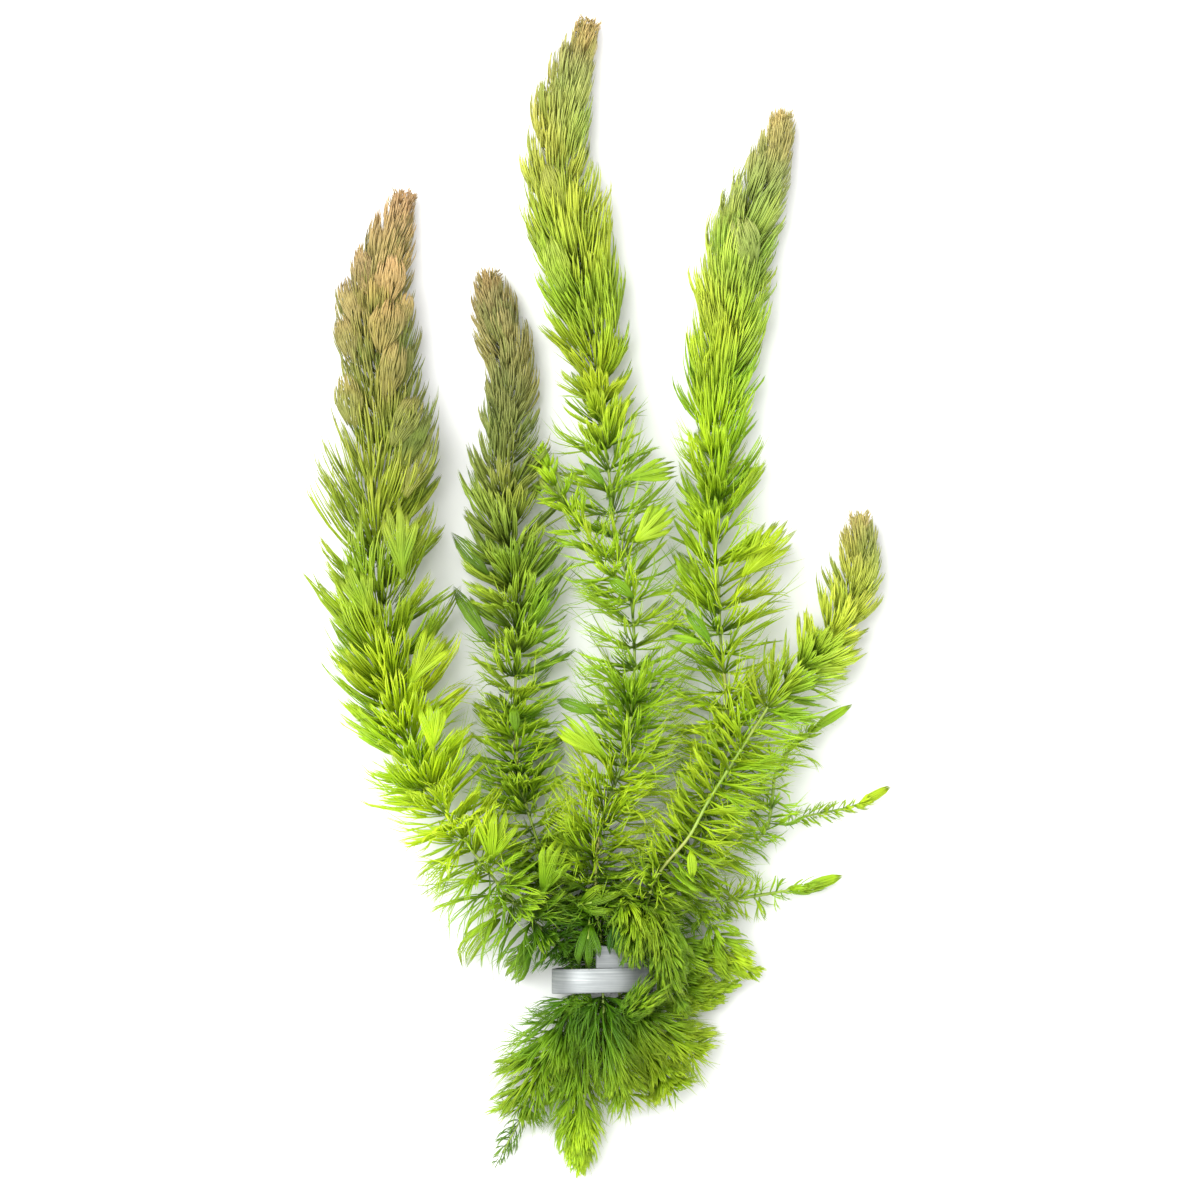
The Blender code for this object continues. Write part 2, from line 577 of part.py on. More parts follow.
def clear_scene():
    for piece in list(bpy.data.objects):
        bpy.data.objects.remove(piece)


def build():
    clear_scene()
    finishes = {
        "olive": material("foliage_olive", OLIVE),
        "lime": material("foliage_lime", LIME),
        "dark": material("foliage_dark", DARK_GREEN),
        "lead": material("lead", LEAD),
    }
    add_object(strip_mesh(), finishes["lead"], smooth=True)
    stems = {name: Stem(rows, SHARE_OF_REACH) for name, (rows, _, _, _) in MAIN_SHOOTS.items()}
    stems.update({name: Stem(rows, SIDE_SHARE_OF_REACH) for name, rows in SIDE_SHOOTS.items()})
    settings = {name: row[1:] for name, row in MAIN_SHOOTS.items()}
    settings.update({name: (SIDE_TUFTS, SIDE_PITCH, 40 + i) for i, name in enumerate(SIDE_SHOOTS)})
    sites = {name: stem.sites() for name, stem in stems.items()}
    for name, stem in stems.items():
        others = [strip_sites()] + [rows for other, rows in sites.items() if other != name]
        tufts, pitch, seed = settings[name]
        mesh = foliage_mesh(name, stem, tufts, pitch, seed, np.vstack(others))
        olive = name in ("shoot_left", "shoot_inner_left")
        finish = "dark" if name == "side_shoot_cut_end" else "olive" if olive else "lime"
        add_object(mesh, finishes[finish])


build()
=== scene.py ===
# %% [markdown]
# # A cut bunch of hornwort
#
# Hornwort is a water plant without roots. Each stem carries ring after ring of thin forked leaves, close
# together near the growing tip and far apart lower down. This bunch was cut, tied with a strip of lead and
# laid on a table. The frame that is loaded first holds a plain solid for each shoot. This script puts
# thousands of leaves in the place of those solids, and gives the strip its worn metal.

import bpy
import numpy as np
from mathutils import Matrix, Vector


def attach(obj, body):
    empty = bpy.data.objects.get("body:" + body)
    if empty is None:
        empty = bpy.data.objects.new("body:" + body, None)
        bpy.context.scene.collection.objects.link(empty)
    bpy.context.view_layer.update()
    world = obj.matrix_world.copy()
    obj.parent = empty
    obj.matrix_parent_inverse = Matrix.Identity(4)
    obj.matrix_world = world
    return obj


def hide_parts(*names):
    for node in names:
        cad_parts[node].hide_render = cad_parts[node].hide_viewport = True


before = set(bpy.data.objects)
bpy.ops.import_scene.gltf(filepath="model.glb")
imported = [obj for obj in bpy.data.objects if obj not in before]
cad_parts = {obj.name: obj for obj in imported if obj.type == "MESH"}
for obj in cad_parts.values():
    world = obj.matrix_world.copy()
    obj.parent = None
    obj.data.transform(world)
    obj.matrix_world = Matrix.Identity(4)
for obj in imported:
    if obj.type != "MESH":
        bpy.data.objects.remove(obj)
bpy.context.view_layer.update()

MM = 0.001

# %% [markdown]
# ## Camera
#
# The photograph looks straight at the bunch, which lies flat here, so the camera looks straight down. A
# long lens from far away keeps the shoots from leaning outwards. The picture is as wide as 300 mm of the
# table.

# %% Camera
VIEW_WIDTH = 300.0
VIEW_CENTRE = (0.0, 95.5, 12.0)
LENS = 200.0


def add_object(name, data):
    """Puts a mesh, lamp or camera into the scene as an object of that name, at the origin."""
    added = bpy.data.objects.new(name, data)
    bpy.context.scene.collection.objects.link(added)
    return added


camera = add_object("camera", bpy.data.cameras.new("camera"))
camera.data.lens = LENS
camera_distance = VIEW_WIDTH * LENS / camera.data.sensor_width
camera.location = Vector(VIEW_CENTRE) * MM + Vector((0, 0, camera_distance * MM))
camera.data.clip_end = 10.0
bpy.context.scene.camera = camera
print("camera height in mm:", round(camera_distance))

# %% [markdown]
# ## Table and light
#
# The bunch lies on a plain white table under a large soft lamp, with a white room around it. Soft light
# from many sides keeps the inner leaves green instead of black.

# %% Table and light
FLOOR_SIZE = 6.0
ROOM_BRIGHTNESS = 1.15
LAMP_SIZE = 0.9
LAMP_POWER = 18.0
LAMP_PLACE = (-0.45, 0.35, 1.1)
LAMP_AIM = (0.0, 0.1, 0.0)


def new_material(name):
    """An empty node material with its Principled shader, and that shader's node tree."""
    material = bpy.data.materials.new(name)
    material.use_nodes = True
    return material, material.node_tree, material.node_tree.nodes["Principled BSDF"]


def table_top():
    """One large square at the height where the bunch rests."""
    half = FLOOR_SIZE / 2
    corners = [(-half, -half, 0), (half, -half, 0), (half, half, 0), (-half, half, 0)]
    mesh = bpy.data.meshes.new("table_top")
    mesh.from_pydata(corners, [], [(0, 1, 2, 3)])
    piece = add_object("table_top", mesh)
    material, _, shader = new_material("white_table")
    shader.inputs["Base Color"].default_value = (0.9, 0.9, 0.9, 1)
    shader.inputs["Roughness"].default_value = 0.9
    shader.inputs["Specular IOR Level"].default_value = 0.1
    mesh.materials.append(material)


table_top()

room = bpy.data.worlds.new("room")
room.use_nodes = True
room.node_tree.nodes["Background"].inputs["Color"].default_value = (1, 1, 1, 1)
room.node_tree.nodes["Background"].inputs["Strength"].default_value = ROOM_BRIGHTNESS
bpy.context.scene.world = room

lamp = add_object("lamp", bpy.data.lights.new("lamp", "AREA"))
lamp.data.size = LAMP_SIZE
lamp.data.energy = LAMP_POWER
lamp.location = LAMP_PLACE
lamp.rotation_euler = (Vector(LAMP_AIM) - lamp.location).to_track_quat("-Z", "Y").to_euler()
bpy.context.scene.view_settings.view_transform = "Standard"
print("lamp:", LAMP_POWER, "W, room:", ROOM_BRIGHTNESS)

# %% [markdown]
# ## The stems' routes
#
# Every shoot is a soft stem that goes through the strip and spreads out above it. A few listed points
# tell its route, and at each point how far its leaves reach and at what angle they leave it. A smooth curve
# goes through the points, so that any distance along the stem has a place, a heading and a size of leaf.

# %% Routes of the main stems
# x, y, z in millimetres, the reach of the leaves, how much more of it goes to the right than to the left,
# their angle to the stem in degrees, and how closely they stand: 0 for open whorls, 1 for a dense plume
LEFT = [
    (-19.5, -32, 6, 8, 0, 150, 0.2), (-15, -22, 7.5, 11.5, -0.1, 142, 0.2),
    (-10, -12, 9.5, 9.5, -0.2, 138, 0.1), (-7, -5.5, 10.5, 7.5, 0, 140, 0), (-6.6, 0, 10.6, 3.1, 0, 90, 0),
    (-8, 6, 11, 3.6, 0, 95, 0), (-14, 12.5, 12.5, 15, -0.1, 104, 0.1), (-22.5, 21, 14, 18.5, -0.1, 98, 0.1),
    (-33, 34.5, 15, 18, -0.05, 84, 0.15), (-41.5, 46.5, 14.5, 16.8, 0.05, 66, 0.35),
    (-47, 58, 14, 17.6, 0.15, 58, 0.5), (-51.2, 70.5, 13.5, 18.6, 0.1, 52, 0.8),
    (-54.5, 90, 13, 18.6, 0, 45, 1), (-55.5, 108, 12.5, 18, 0, 43, 1), (-55, 127, 11, 16, 0.08, 40, 1),
    (-54.7, 140, 9.5, 13.6, 0.08, 38, 1), (-55.8, 158, 8, 10.6, -0.05, 35, 1), (-55, 175, 7, 9, -0.1, 32, 1),
    (-51.2, 190, 6, 5.8, -0.1, 28, 1), (-48.8, 198.5, 5.5, 3.6, 0, 20, 1),
]
INNER_LEFT = [
    (-5, -43.5, 5, 3.8, 0, 154, 0.3), (-5.1, -37, 5.6, 8, 0, 150, 0.2),
    (-5.2, -30, 6.2, 9.4, -0.1, 148, 0.2), (-4.5, -17, 6.4, 10, -0.1, 142, 0.1),
    (-3.5, -6, 5.1, 7, 0, 140, 0), (-3.3, 0, 4.9, 3.1, 0, 90, 0), (-4, 6, 5, 3.4, 0, 80, 0),
    (-8.7, 15.5, 5.8, 11, 0, 76, 0.1), (-15, 33, 6.8, 13.5, 0, 72, 0.1), (-19.5, 48, 7.6, 14, 0, 70, 0.12),
    (-21.2, 61.2, 8.2, 13, 0.1, 70, 0.15), (-21.2, 73, 8.6, 13, 0.1, 68, 0.2),
    (-20.7, 85.5, 9, 15, 0, 60, 0.35), (-21, 95.5, 9, 16, 0.05, 54, 0.6),
    (-22.5, 108, 9, 14.6, 0.15, 48, 0.8), (-23.7, 120.5, 9, 14, 0.15, 44, 1),
    (-24.2, 130, 8.4, 13.6, 0.1, 40, 1), (-23.4, 141, 7, 8.6, 0.2, 35, 1), (-23.5, 155, 6, 6.2, 0, 32, 1),
    (-26.8, 170.5, 5.2, 5.8, 0, 28, 1), (-28, 179, 4.6, 3.5, 0, 20, 1),
]
CENTRE = [
    (7, -29, 9, 7, 0, 144, 0.2), (3.6, -19, 11.6, 10, 0, 140, 0.1), (1.4, -11.5, 12.4, 11, 0, 140, 0.1),
    (0.8, -5.5, 12, 7.5, 0, 140, 0), (0.8, 0, 11.8, 3.1, 0, 90, 0), (0.6, 8.5, 11.9, 3.4, 0, 80, 0),
    (-1, 20.5, 14.2, 13, 0, 78, 0), (-0.7, 33, 16, 15.5, 0, 75, 0), (1.5, 43.5, 16, 16.5, 0, 74, 0),
    (6.2, 56.7, 14.4, 16.5, 0, 72, 0), (8.2, 70.5, 13, 16.8, 0, 70, 0), (8.6, 84.2, 12.4, 16.8, 0, 68, 0),
    (7.2, 99.5, 12, 17, 0, 66, 0), (3.6, 112, 11.6, 16.5, 0, 64, 0), (2.5, 125, 11.2, 16, 0, 60, 0.05),
    (0.6, 139, 10.5, 14.5, 0, 54, 0.3), (-0.2, 150, 9, 11, -0.1, 44, 0.8), (-2, 163, 8.2, 10.8, 0.05, 38, 1),
    (-5.6, 176, 7.6, 10.4, 0.1, 36, 1), (-9.2, 191, 7.4, 10.4, 0, 34, 1), (-10.2, 203, 7, 10, -0.15, 32, 1),
    (-9.4, 213, 6.2, 7.6, -0.2, 30, 1), (-6.5, 227, 5.4, 6.2, -0.15, 28, 1),
    (-2.6, 241.8, 4.8, 3.6, 0, 20, 1),
]
INNER_RIGHT = [
    (17, -25.5, 5.6, 8, 0, 144, 0.2), (11.6, -16, 6.2, 11.5, 0.1, 138, 0.1), (5.6, -6, 5.2, 7, 0, 140, 0),
    (4.9, 0, 4.9, 3.1, 0, 90, 0), (6.2, 6, 5, 3.4, 0, 85, 0), (14, 17.5, 5.8, 13, 0.1, 96, 0),
    (22.5, 32, 6.6, 16.5, 0.2, 90, 0), (29, 47, 7.2, 16, 0.1, 82, 0), (32, 60.5, 8.2, 15, -0.1, 78, 0),
    (31.5, 73, 9, 15, -0.1, 72, 0), (30.2, 85.5, 9.8, 16, 0.1, 66, 0), (29.8, 97, 10.2, 18, 0.2, 58, 0.25),
    (29, 107, 10.2, 17.6, 0.2, 52, 0.5), (29.2, 118, 9.8, 15, 0.15, 46, 0.7),
    (29, 133, 9, 12.6, -0.05, 42, 0.8), (30, 148, 8.2, 11, -0.05, 38, 1),
    (32.2, 164, 7.4, 9.4, -0.05, 36, 1), (34.3, 181, 7, 9.4, 0, 34, 1), (38.5, 194, 6.4, 8.4, -0.1, 32, 1),
    (43.5, 205.5, 5.4, 5.8, -0.1, 28, 1), (46.4, 219, 4.6, 3.8, 0, 20, 1),
]
RIGHT = [
    (23.5, -17.5, 7.4, 8, 0, 140, 0.2), (15, -12, 10, 10, 0, 138, 0.1), (8.8, -6, 10.8, 7.5, 0, 138, 0),
    (8, 0, 10.7, 3.1, 0, 90, 0), (8.4, 7, 11.3, 3.1, 0, 85, 0), (10.6, 16, 16, 11, 0.1, 88, 0),
    (14.4, 27, 20, 12, 0.1, 84, 0), (22, 36.5, 21, 12.5, 0.1, 80, 0), (27, 45.5, 20, 13, 0.1, 76, 0),
    (34.2, 56.7, 17.2, 14, 0.1, 70, 0), (39.5, 65, 14.8, 14, 0.1, 62, 0), (46, 74, 12, 13.5, 0.1, 52, 0.35),
    (54, 82, 9.6, 11.6, -0.05, 46, 0.8), (60.6, 90.5, 8, 9.8, -0.15, 42, 0.9),
    (64.2, 99.5, 6.8, 8, -0.15, 36, 1), (65.6, 109.5, 5.8, 6.2, -0.1, 28, 1), (65.2, 118, 5, 3.3, 0, 20, 1),
]
print("route points:", [len(rows) for rows in (LEFT, INNER_LEFT, CENTRE, INNER_RIGHT, RIGHT)])

# %% [markdown]
# ## Side shoots
#
# Shorter shoots branch from the main ones. Most of them are one tuft at the front of the bunch, and a few
# are thin twigs that stand out to the right. Each starts beside its parent stem, inside its leaves.

# %% Routes of the side shoots
# where its tuft or bud begins as a share of its length, its fingers (1 for a bud, 0 for none), the tone from
# 0 for dark to 1 for bright, and its rows. Where it is all one tuft, a row stops at the reach
SIDE_SHOOTS = {
    "side_shoot_left_front": (0, 5, 0.7, [
        (-27.2, 30, 20.6, 1.4), (-26.6, 34.4, 23, 3.6), (-25.8, 41, 24.6, 5.4), (-25.2, 45.6, 25, 3.4),
    ]),
    "side_shoot_middle_front": (0, 5, 0.65, [
        (-14.6, 21.4, 18.2, 1.4), (-12.6, 27.5, 22, 3), (-10.6, 33, 23.6, 4.4), (-8.6, 36.6, 24, 2.8),
    ]),
    "side_shoot_across_front": (0, 3, 0.4, [
        (-5.6, 19.6, 18.4, 1.4), (-2, 20.4, 23.4, 3), (4, 22.4, 24.6, 2.8), (7.6, 23.4, 24.8, 1.2),
    ]),
    "side_shoot_over_strip": (0, 3, 0.55, [
        (-2.6, 15.8, 17.6, 1.4), (-3, 11.5, 20.2, 2.8), (-3, 6.5, 21, 3.2), (-2.8, 2.6, 20.8, 1.6),
    ]),
    "side_shoot_left_low": (0, 1, 0.7, [
        (-25, 15.6, 9.4, 1.4), (-30.4, 11.6, 7.6, 3.2), (-33.6, 7, 6.4, 3.4), (-34.2, 2, 5.4, 1.4),
    ]),
    "side_shoot_left_under": (0, 4, 0.7, [
        (-16.8, 8.4, 8.8, 1.4), (-20.4, 3.8, 7.4, 3), (-23, 0.6, 6.4, 2.4), (-24.6, -1.4, 6, 1),
    ]),
    "side_shoot_right_upper": (0.76, 1, 0.4, [
        (34.2, 35.6, 7.4, 1.2, 0, 50, 0), (38.4, 34.6, 8, 1.6, 0, 60, 0), (42, 39, 8.4, 6, 0.3, 68, 0),
        (43.2, 46, 8.6, 8.5, 0.2, 70, 0), (44, 52, 8.4, 9, 0.2, 62, 0), (47.5, 58, 7.8, 8.6, 0.3, 50, 0.2),
        (53.5, 63, 6.8, 2.2, 0, 30, 1), (59, 66.6, 6, 1.6, 0, 16, 1), (63.6, 69.4, 5.4, 0.9, 0, 12, 1),
    ]),
    "side_shoot_right_tip": (0.7, 1, 0.6, [
        (46.4, 38.8, 6.6, 1.1, 0, 50, 0), (51, 41, 6, 2.8, 0, 56, 0), (57.5, 42.4, 5.2, 3.4, 0, 50, 0),
        (63, 43.6, 4.6, 2, 0, 40, 0.5), (68, 45.8, 4.2, 1.8, 0, 16, 1), (73.4, 49, 3.8, 0.9, 0, 12, 1),
    ]),
    "side_shoot_right_low": (0.72, 1, 0.8, [
        (25, 20, 6.4, 1.2, 0, 50, 0), (29.4, 19.6, 6.4, 1.6, 0, 60, 0), (34, 20.4, 6, 6.2, 0, 66, 0),
        (40, 21.4, 5.6, 7, 0, 62, 0), (46, 22.4, 5, 4.6, 0, 50, 0.2), (51.5, 23.4, 4.6, 2.2, 0, 20, 1),
        (57, 25, 4.2, 2, 0, 16, 1), (61.4, 26.4, 3.8, 0.9, 0, 12, 1),
    ]),
    "side_shoot_drooping": (1, 0, 0, [
        (24.6, 19.6, 10.4, 1.2, 0, 30, 0), (28.2, 13.6, 11.6, 1.6, 0, 30, 0.5), (31, 8.6, 10, 4.6, 0, 34, 1),
        (35.4, 4.4, 8, 5.4, 0, 32, 1), (40, 1.6, 6.2, 2, 0, 26, 1),
    ]),
    "side_shoot_beside_strip": (1, 0, 0, [
        (13.2, 6.6, 7, 1.2, 0, 30, 0), (16.4, 2.8, 7.4, 1.8, 0, 30, 0.5), (19.8, -0.6, 7.4, 4.6, 0, 34, 1),
        (25.4, -2.2, 6.6, 4.8, 0, 32, 1), (31, -1.6, 5.6, 3.2, 0, 28, 1), (35, -0.8, 4.8, 1.4, 0, 22, 1),
    ]),
    "side_shoot_right_front": (0, 4, 0.65, [
        (13.8, 12.8, 18.8, 1.4), (17.4, 8.6, 18.6, 3.4), (20.4, 4.4, 16.4, 4), (22.4, 0.8, 14.4, 1.8),
    ]),
    "side_shoot_bud": (0, 1, 0.85, [
        (22.4, 33.4, 26.2, 0.9), (22.8, 30.4, 27.2, 1.7), (22.9, 26, 26.8, 0.9),
    ]),
    "side_shoot_centre": (0, 5, 0.6, [
        (7.4, 110.4, 16.4, 1.3), (11, 112.4, 18.4, 3.2), (15.6, 116, 19, 3.6), (19.2, 119, 19, 1.8),
    ]),
    "side_shoot_cut_end": (1, 0, 0, [
        (-19.4, -34, 5.2, 1.1, 0, 20, 0), (-23.4, -41.4, 4.2, 3.2, 0, 38, 0),
        (-26.2, -46.6, 3.6, 1.6, 0, 26, 0),
    ]),
}
print("side shoots:", len(SIDE_SHOOTS))

# %% [markdown]
# ## A stem
#
# A stem turns a distance along it into everything that a leaf needs there: the place, the heading, and the
# two directions across. Blender's own curve objects could carry the route, but arrays answer for thousands
# of leaves at once.

# %% A stem
STEM_RADIUS = 0.48
STEM_REACH = 8.0
THINNEST_SHARE = 0.35
LEAST_REACH = 0.8
# what a row that stops at the reach goes on with: no lean, 40 degrees, and close leaves
PLAIN_LEAVES = (0.0, 40.0, 1.0)


def curve_through(rows, steps=12):
    """Catmull-Rom curve through the rows, with the same number of steps between each pair.

    Between b and c: (2 b + (c - a) t + (2 a - 5 b + 4 c - d) t^2 + (3 b - a - 3 c + d) t^3) / 2."""
    rows = np.array(rows, float)
    knots = np.vstack([2 * rows[0] - rows[1], rows, 2 * rows[-1] - rows[-2]])
    t = np.linspace(0.0, 1.0, steps, endpoint=False)[:, None]
    spans = []
    for a, b, c, d in zip(knots, knots[1:], knots[2:], knots[3:]):
        bend = (2 * a - 5 * b + 4 * c - d) * t**2 + (3 * b - a - 3 * c + d) * t**3
        spans.append(0.5 * (2 * b + (c - a) * t + bend))
    return np.vstack([*spans, rows[-1:]])


def unit(vectors):
    """The same vectors, each divided by its length."""
    return vectors / np.maximum(np.linalg.norm(vectors, axis=-1, keepdims=True), 1e-9)


class Stem:
    """A stem's centre line, with the reach, lean, angle and closeness of its leaves along it."""

    def __init__(self, rows):
        line = curve_through([(*row, *PLAIN_LEAVES)[:7] for row in rows])
        self.points = line[:, :3]
        steps = np.linalg.norm(np.diff(self.points, axis=0), axis=1)
        self.distance = np.concatenate([[0.0], np.cumsum(steps)])
        self.length = self.distance[-1]
        self.reach = np.clip(line[:, 3], LEAST_REACH, None)
        self.lean = line[:, 4]
        self.angle = line[:, 5]
        self.closeness = np.clip(line[:, 6], 0.0, 1.0)
        self.heading = np.gradient(self.points, self.distance, axis=0)

    def read(self, values, s):
        """One of the arrays along the stem, at distance s."""
        return np.interp(s, self.distance, values)

    def frame(self, s):
        """Centre, side and top at distance s. Past either end the stem runs on straight.

        Side = heading x up, top = side x heading."""
        inside = np.clip(s, 0.0, self.length)
        centre = np.stack([self.read(self.points[:, i], inside) for i in range(3)], axis=-1)
        heading = unit(np.stack([self.read(self.heading[:, i], inside) for i in range(3)], axis=-1))
        side = unit(np.cross(heading, (0.0, 0.0, 1.0)))
        top = np.cross(side, heading)
        return centre + heading * (s - inside)[..., None], side, top

    def radius(self, s):
        """Radius = stem radius * (share + (1 - share) * reach / usual reach): thin where leaves are short."""
        grown = self.read(self.reach, s) / STEM_REACH
        return STEM_RADIUS * np.clip(THINNEST_SHARE + (1 - THINNEST_SHARE) * grown, 0.0, 1.0)


MAIN_SHOOTS = {
    "shoot_left": LEFT,
    "shoot_inner_left": INNER_LEFT,
    "shoot_centre": CENTRE,
    "shoot_inner_right": INNER_RIGHT,
    "shoot_right": RIGHT,
}
stems = {name: Stem(rows) for name, rows in MAIN_SHOOTS.items()}
stems |= {name: Stem(rows) for name, (_, _, _, rows) in SIDE_SHOOTS.items()}
print("stem lengths in mm:", {name: round(stem.length) for name, stem in stems.items()})

# %% [markdown]
# ## The strip's route
#
# The tie is a strip of soft lead, wound once and a fifth round the stems by hand and pressed flat below.
# Its route is a rounded square turned into a slow screw. It is worked out before the leaves, because the
# leaves keep clear of it.

# %% Route of the strip
STRIP_WIDTH = 6.2
STRIP_THICKNESS = 1.0
STRIP_LAP_GAP = 0.3
STRIP_HALF_SPAN = 12.9
STRIP_HEIGHT = 17.6
STRIP_CENTRE_X = 0.8
STRIP_SQUARENESS = 2.5
STRIP_UNDERSIDE_PRESS = 1.19
STRIP_INNER_END = 0.53 * np.pi
STRIP_OUTER_END = -1.87 * np.pi
STRIP_STEP_START = -0.12 * np.pi
STRIP_STEP_LENGTH = 0.24 * np.pi
STRIP_INNER_RISE = 6.6
STRIP_OUTER_RISE = 1.1
STRIP_CUT_LENGTH = 0.2 * np.pi
STRIP_POINT_WIDTH = 0.6
NET_STATIONS = 80
NET_ACROSS = 5


def smooth_step(x):
    """0 below 0, 1 above 1, and x^2 * (3 - 2 x) between them."""
    x = np.clip(x, 0.0, 1.0)
    return x * x * (3 - 2 * x)


def strip_route(stations):
    """Middle of the strip's thickness along its winding, its outward direction, and its two edges along Y.

    Across and up are cosine and sine of the turn, each raised to a power below one, to square the loop."""
    turn = np.linspace(STRIP_INNER_END, STRIP_OUTER_END, stations)
    power = 2.0 / STRIP_SQUARENESS
    half = STRIP_THICKNESS / 2
    across = (STRIP_HALF_SPAN - half) * np.sign(np.cos(turn)) * np.abs(np.cos(turn)) ** power
    height = (STRIP_HEIGHT / 2 - half) * np.sign(np.sin(turn)) * np.abs(np.sin(turn)) ** power
    height = np.where(height < 0, height * STRIP_UNDERSIDE_PRESS, height)
    height = np.maximum(STRIP_HEIGHT / 2 + height, half)
    middle = np.column_stack([STRIP_CENTRE_X + across, np.zeros_like(turn), height])
    outward = np.cross(unit(np.gradient(middle, axis=0)), (0.0, 1.0, 0.0))
    outward[height == half] = (0.0, 0.0, -1.0)
    inner_layer = smooth_step((turn - STRIP_STEP_START) / STRIP_STEP_LENGTH)
    middle -= outward * (inner_layer * (STRIP_THICKNESS + STRIP_LAP_GAP))[:, None]
    rise = STRIP_INNER_RISE * np.clip(turn / STRIP_INNER_END, 0.0, 1.0)
    rise += STRIP_OUTER_RISE * np.clip((-np.pi - turn) / (-np.pi - STRIP_OUTER_END), 0.0, 1.0)
    low = rise - STRIP_WIDTH / 2
    high = rise + STRIP_WIDTH / 2
    cut = np.clip((STRIP_OUTER_END + STRIP_CUT_LENGTH - turn) / STRIP_CUT_LENGTH, 0.0, 1.0)
    low += cut * (STRIP_WIDTH - STRIP_POINT_WIDTH)
    return middle, outward, low, high


def points_on_strip():
    """A net of points over the strip, which the leaves keep away from."""
    middle, _, low, high = strip_route(NET_STATIONS)
    part = np.linspace(0.0, 1.0, NET_ACROSS)[None, :]
    net = np.repeat(middle[:, None], NET_ACROSS, axis=1)
    net[..., 1] = low[:, None] * (1 - part) + high[:, None] * part
    return net.reshape(-1, 3)


strip_net = points_on_strip()
print("strip net:", strip_net.shape)

# %% [markdown]
# ## Whorls
#
# A hornwort leaf is a green thread that forks two or three times. Out of the water the threads stick
# together: near the growing tip as blunt scales, below them as fans with pointed fingers, and lower down as
# narrow feathers and open forks. All four are made of the same strands: thin three-sided threads, each with
# its own path. A particle system could scatter them, but plain arrays keep every strand real mesh that
# other programs can read. The first thing to find is where along a stem its rings of leaves, the whorls,
# are.

# %% Where the whorls are
OPEN_PITCH = 5.6
OPEN_REACH = 11.0
LEAST_OPEN_PITCH_SHARE = 0.4
CROWDED_PITCH_SHARE = 0.54
CROWDED_BELOW = 56.0
CROWD_FADE = 30.0
CROWDED_AT_STRIP = 0.45
CROWD_HALF_LENGTH = 6.0
DENSE_PITCH_AT_ZERO = 1.0
DENSE_PITCH_PER_REACH = 0.28
FIRST_WHORL = 1.0
LAST_WHORL_TO_TIP = 0.8


def whorl_marks(stem):
    """Distances of the whorls from the cut end: far apart where they are open, near where leaves are short.

    Pitch = closeness * dense pitch + (1 - closeness) * open pitch. Both grow with the reach, and the open one
    is less in the crowded lower half of the bunch and at the strip."""
    marks = [FIRST_WHORL]
    while marks[-1] < stem.length - LAST_WHORL_TO_TIP:
        s = np.array(marks[-1])
        reach = stem.read(stem.reach, s)
        close = stem.read(stem.closeness, s)
        height = stem.frame(s)[0][1]
        crowd = smooth_step((height - CROWDED_BELOW) / CROWD_FADE)
        crowd = CROWDED_PITCH_SHARE + (1 - CROWDED_PITCH_SHARE) * crowd
        crowd = crowd * (1 - CROWDED_AT_STRIP * np.exp(-((height / CROWD_HALF_LENGTH) ** 2)))
        dense = DENSE_PITCH_AT_ZERO + DENSE_PITCH_PER_REACH * reach
        open_pitch = OPEN_PITCH * crowd * np.clip(reach / OPEN_REACH, LEAST_OPEN_PITCH_SHARE, 1.0)
        marks.append(marks[-1] + float(close * dense + (1 - close) * open_pitch))
    return np.array(marks[:-1])


print("whorls:", {name: len(whorl_marks(stems[name])) for name in MAIN_SHOOTS})

# %% [markdown]
# ## The leaves of a stem
#
# Each whorl has up to fourteen leaves, turned a little from one whorl to the next. A leaf is not modelled
# yet here: it is one number in each of a few arrays, such as its place, its turn round the stem, its kind
# and its reach. Where the leaves lean towards the tip, more of them are scales and fans, and they hug the
# stem.

# %% The leaves of one stem
SCALE, FAN, FEATHER, FORK = range(4)
STRIP_HALF_LENGTH = 3.2
CLOSE_LEAVES = 8
OPEN_LEAVES = 14
FEATHER_SHARE = 0.45
FEATHER_SHARE_BELOW = 0.12
WHORL_SHIFT = 0.61
TURN_JITTER = 0.4
LOOSE_HUG = 1.3
TIGHT_HUG = 1.4
# the angle in degrees under which leaves are scales, tight or furry, and over how many degrees they become so
SCALES_BELOW = (47.0, 7.0)
TIGHT_BELOW = (44.0, 20.0)
FUR_BELOW = (33.0, 10.0)
# one value to each kind of leaf
ANGLE_SHARES = np.array([0.72, 0.95, 1.0, 1.0])
ANGLE_SPREADS = np.array([4.0, 6.0, 11.0, 14.0])
ROOT_SPREADS = np.array([1.5, 1.2, 0.6, 0.6])
BOWS = np.array([0.04, 0.06, 0.1, 0.12])
LEAST_ANGLE = np.radians(9.0)
REACH_ROUNDS = 6
FURTHEST_SHARE = 1.15
FURTHEST_REACH_SHARE = 0.35
SHORT_OF_TIP = 0.5
OVER_CUT_END = 5.5


def under_angle(angle, limit, fade):
    """0 at the limit and over it, and 1 where the angle is less by the fade or more."""
    return smooth_step((limit - angle) / fade)


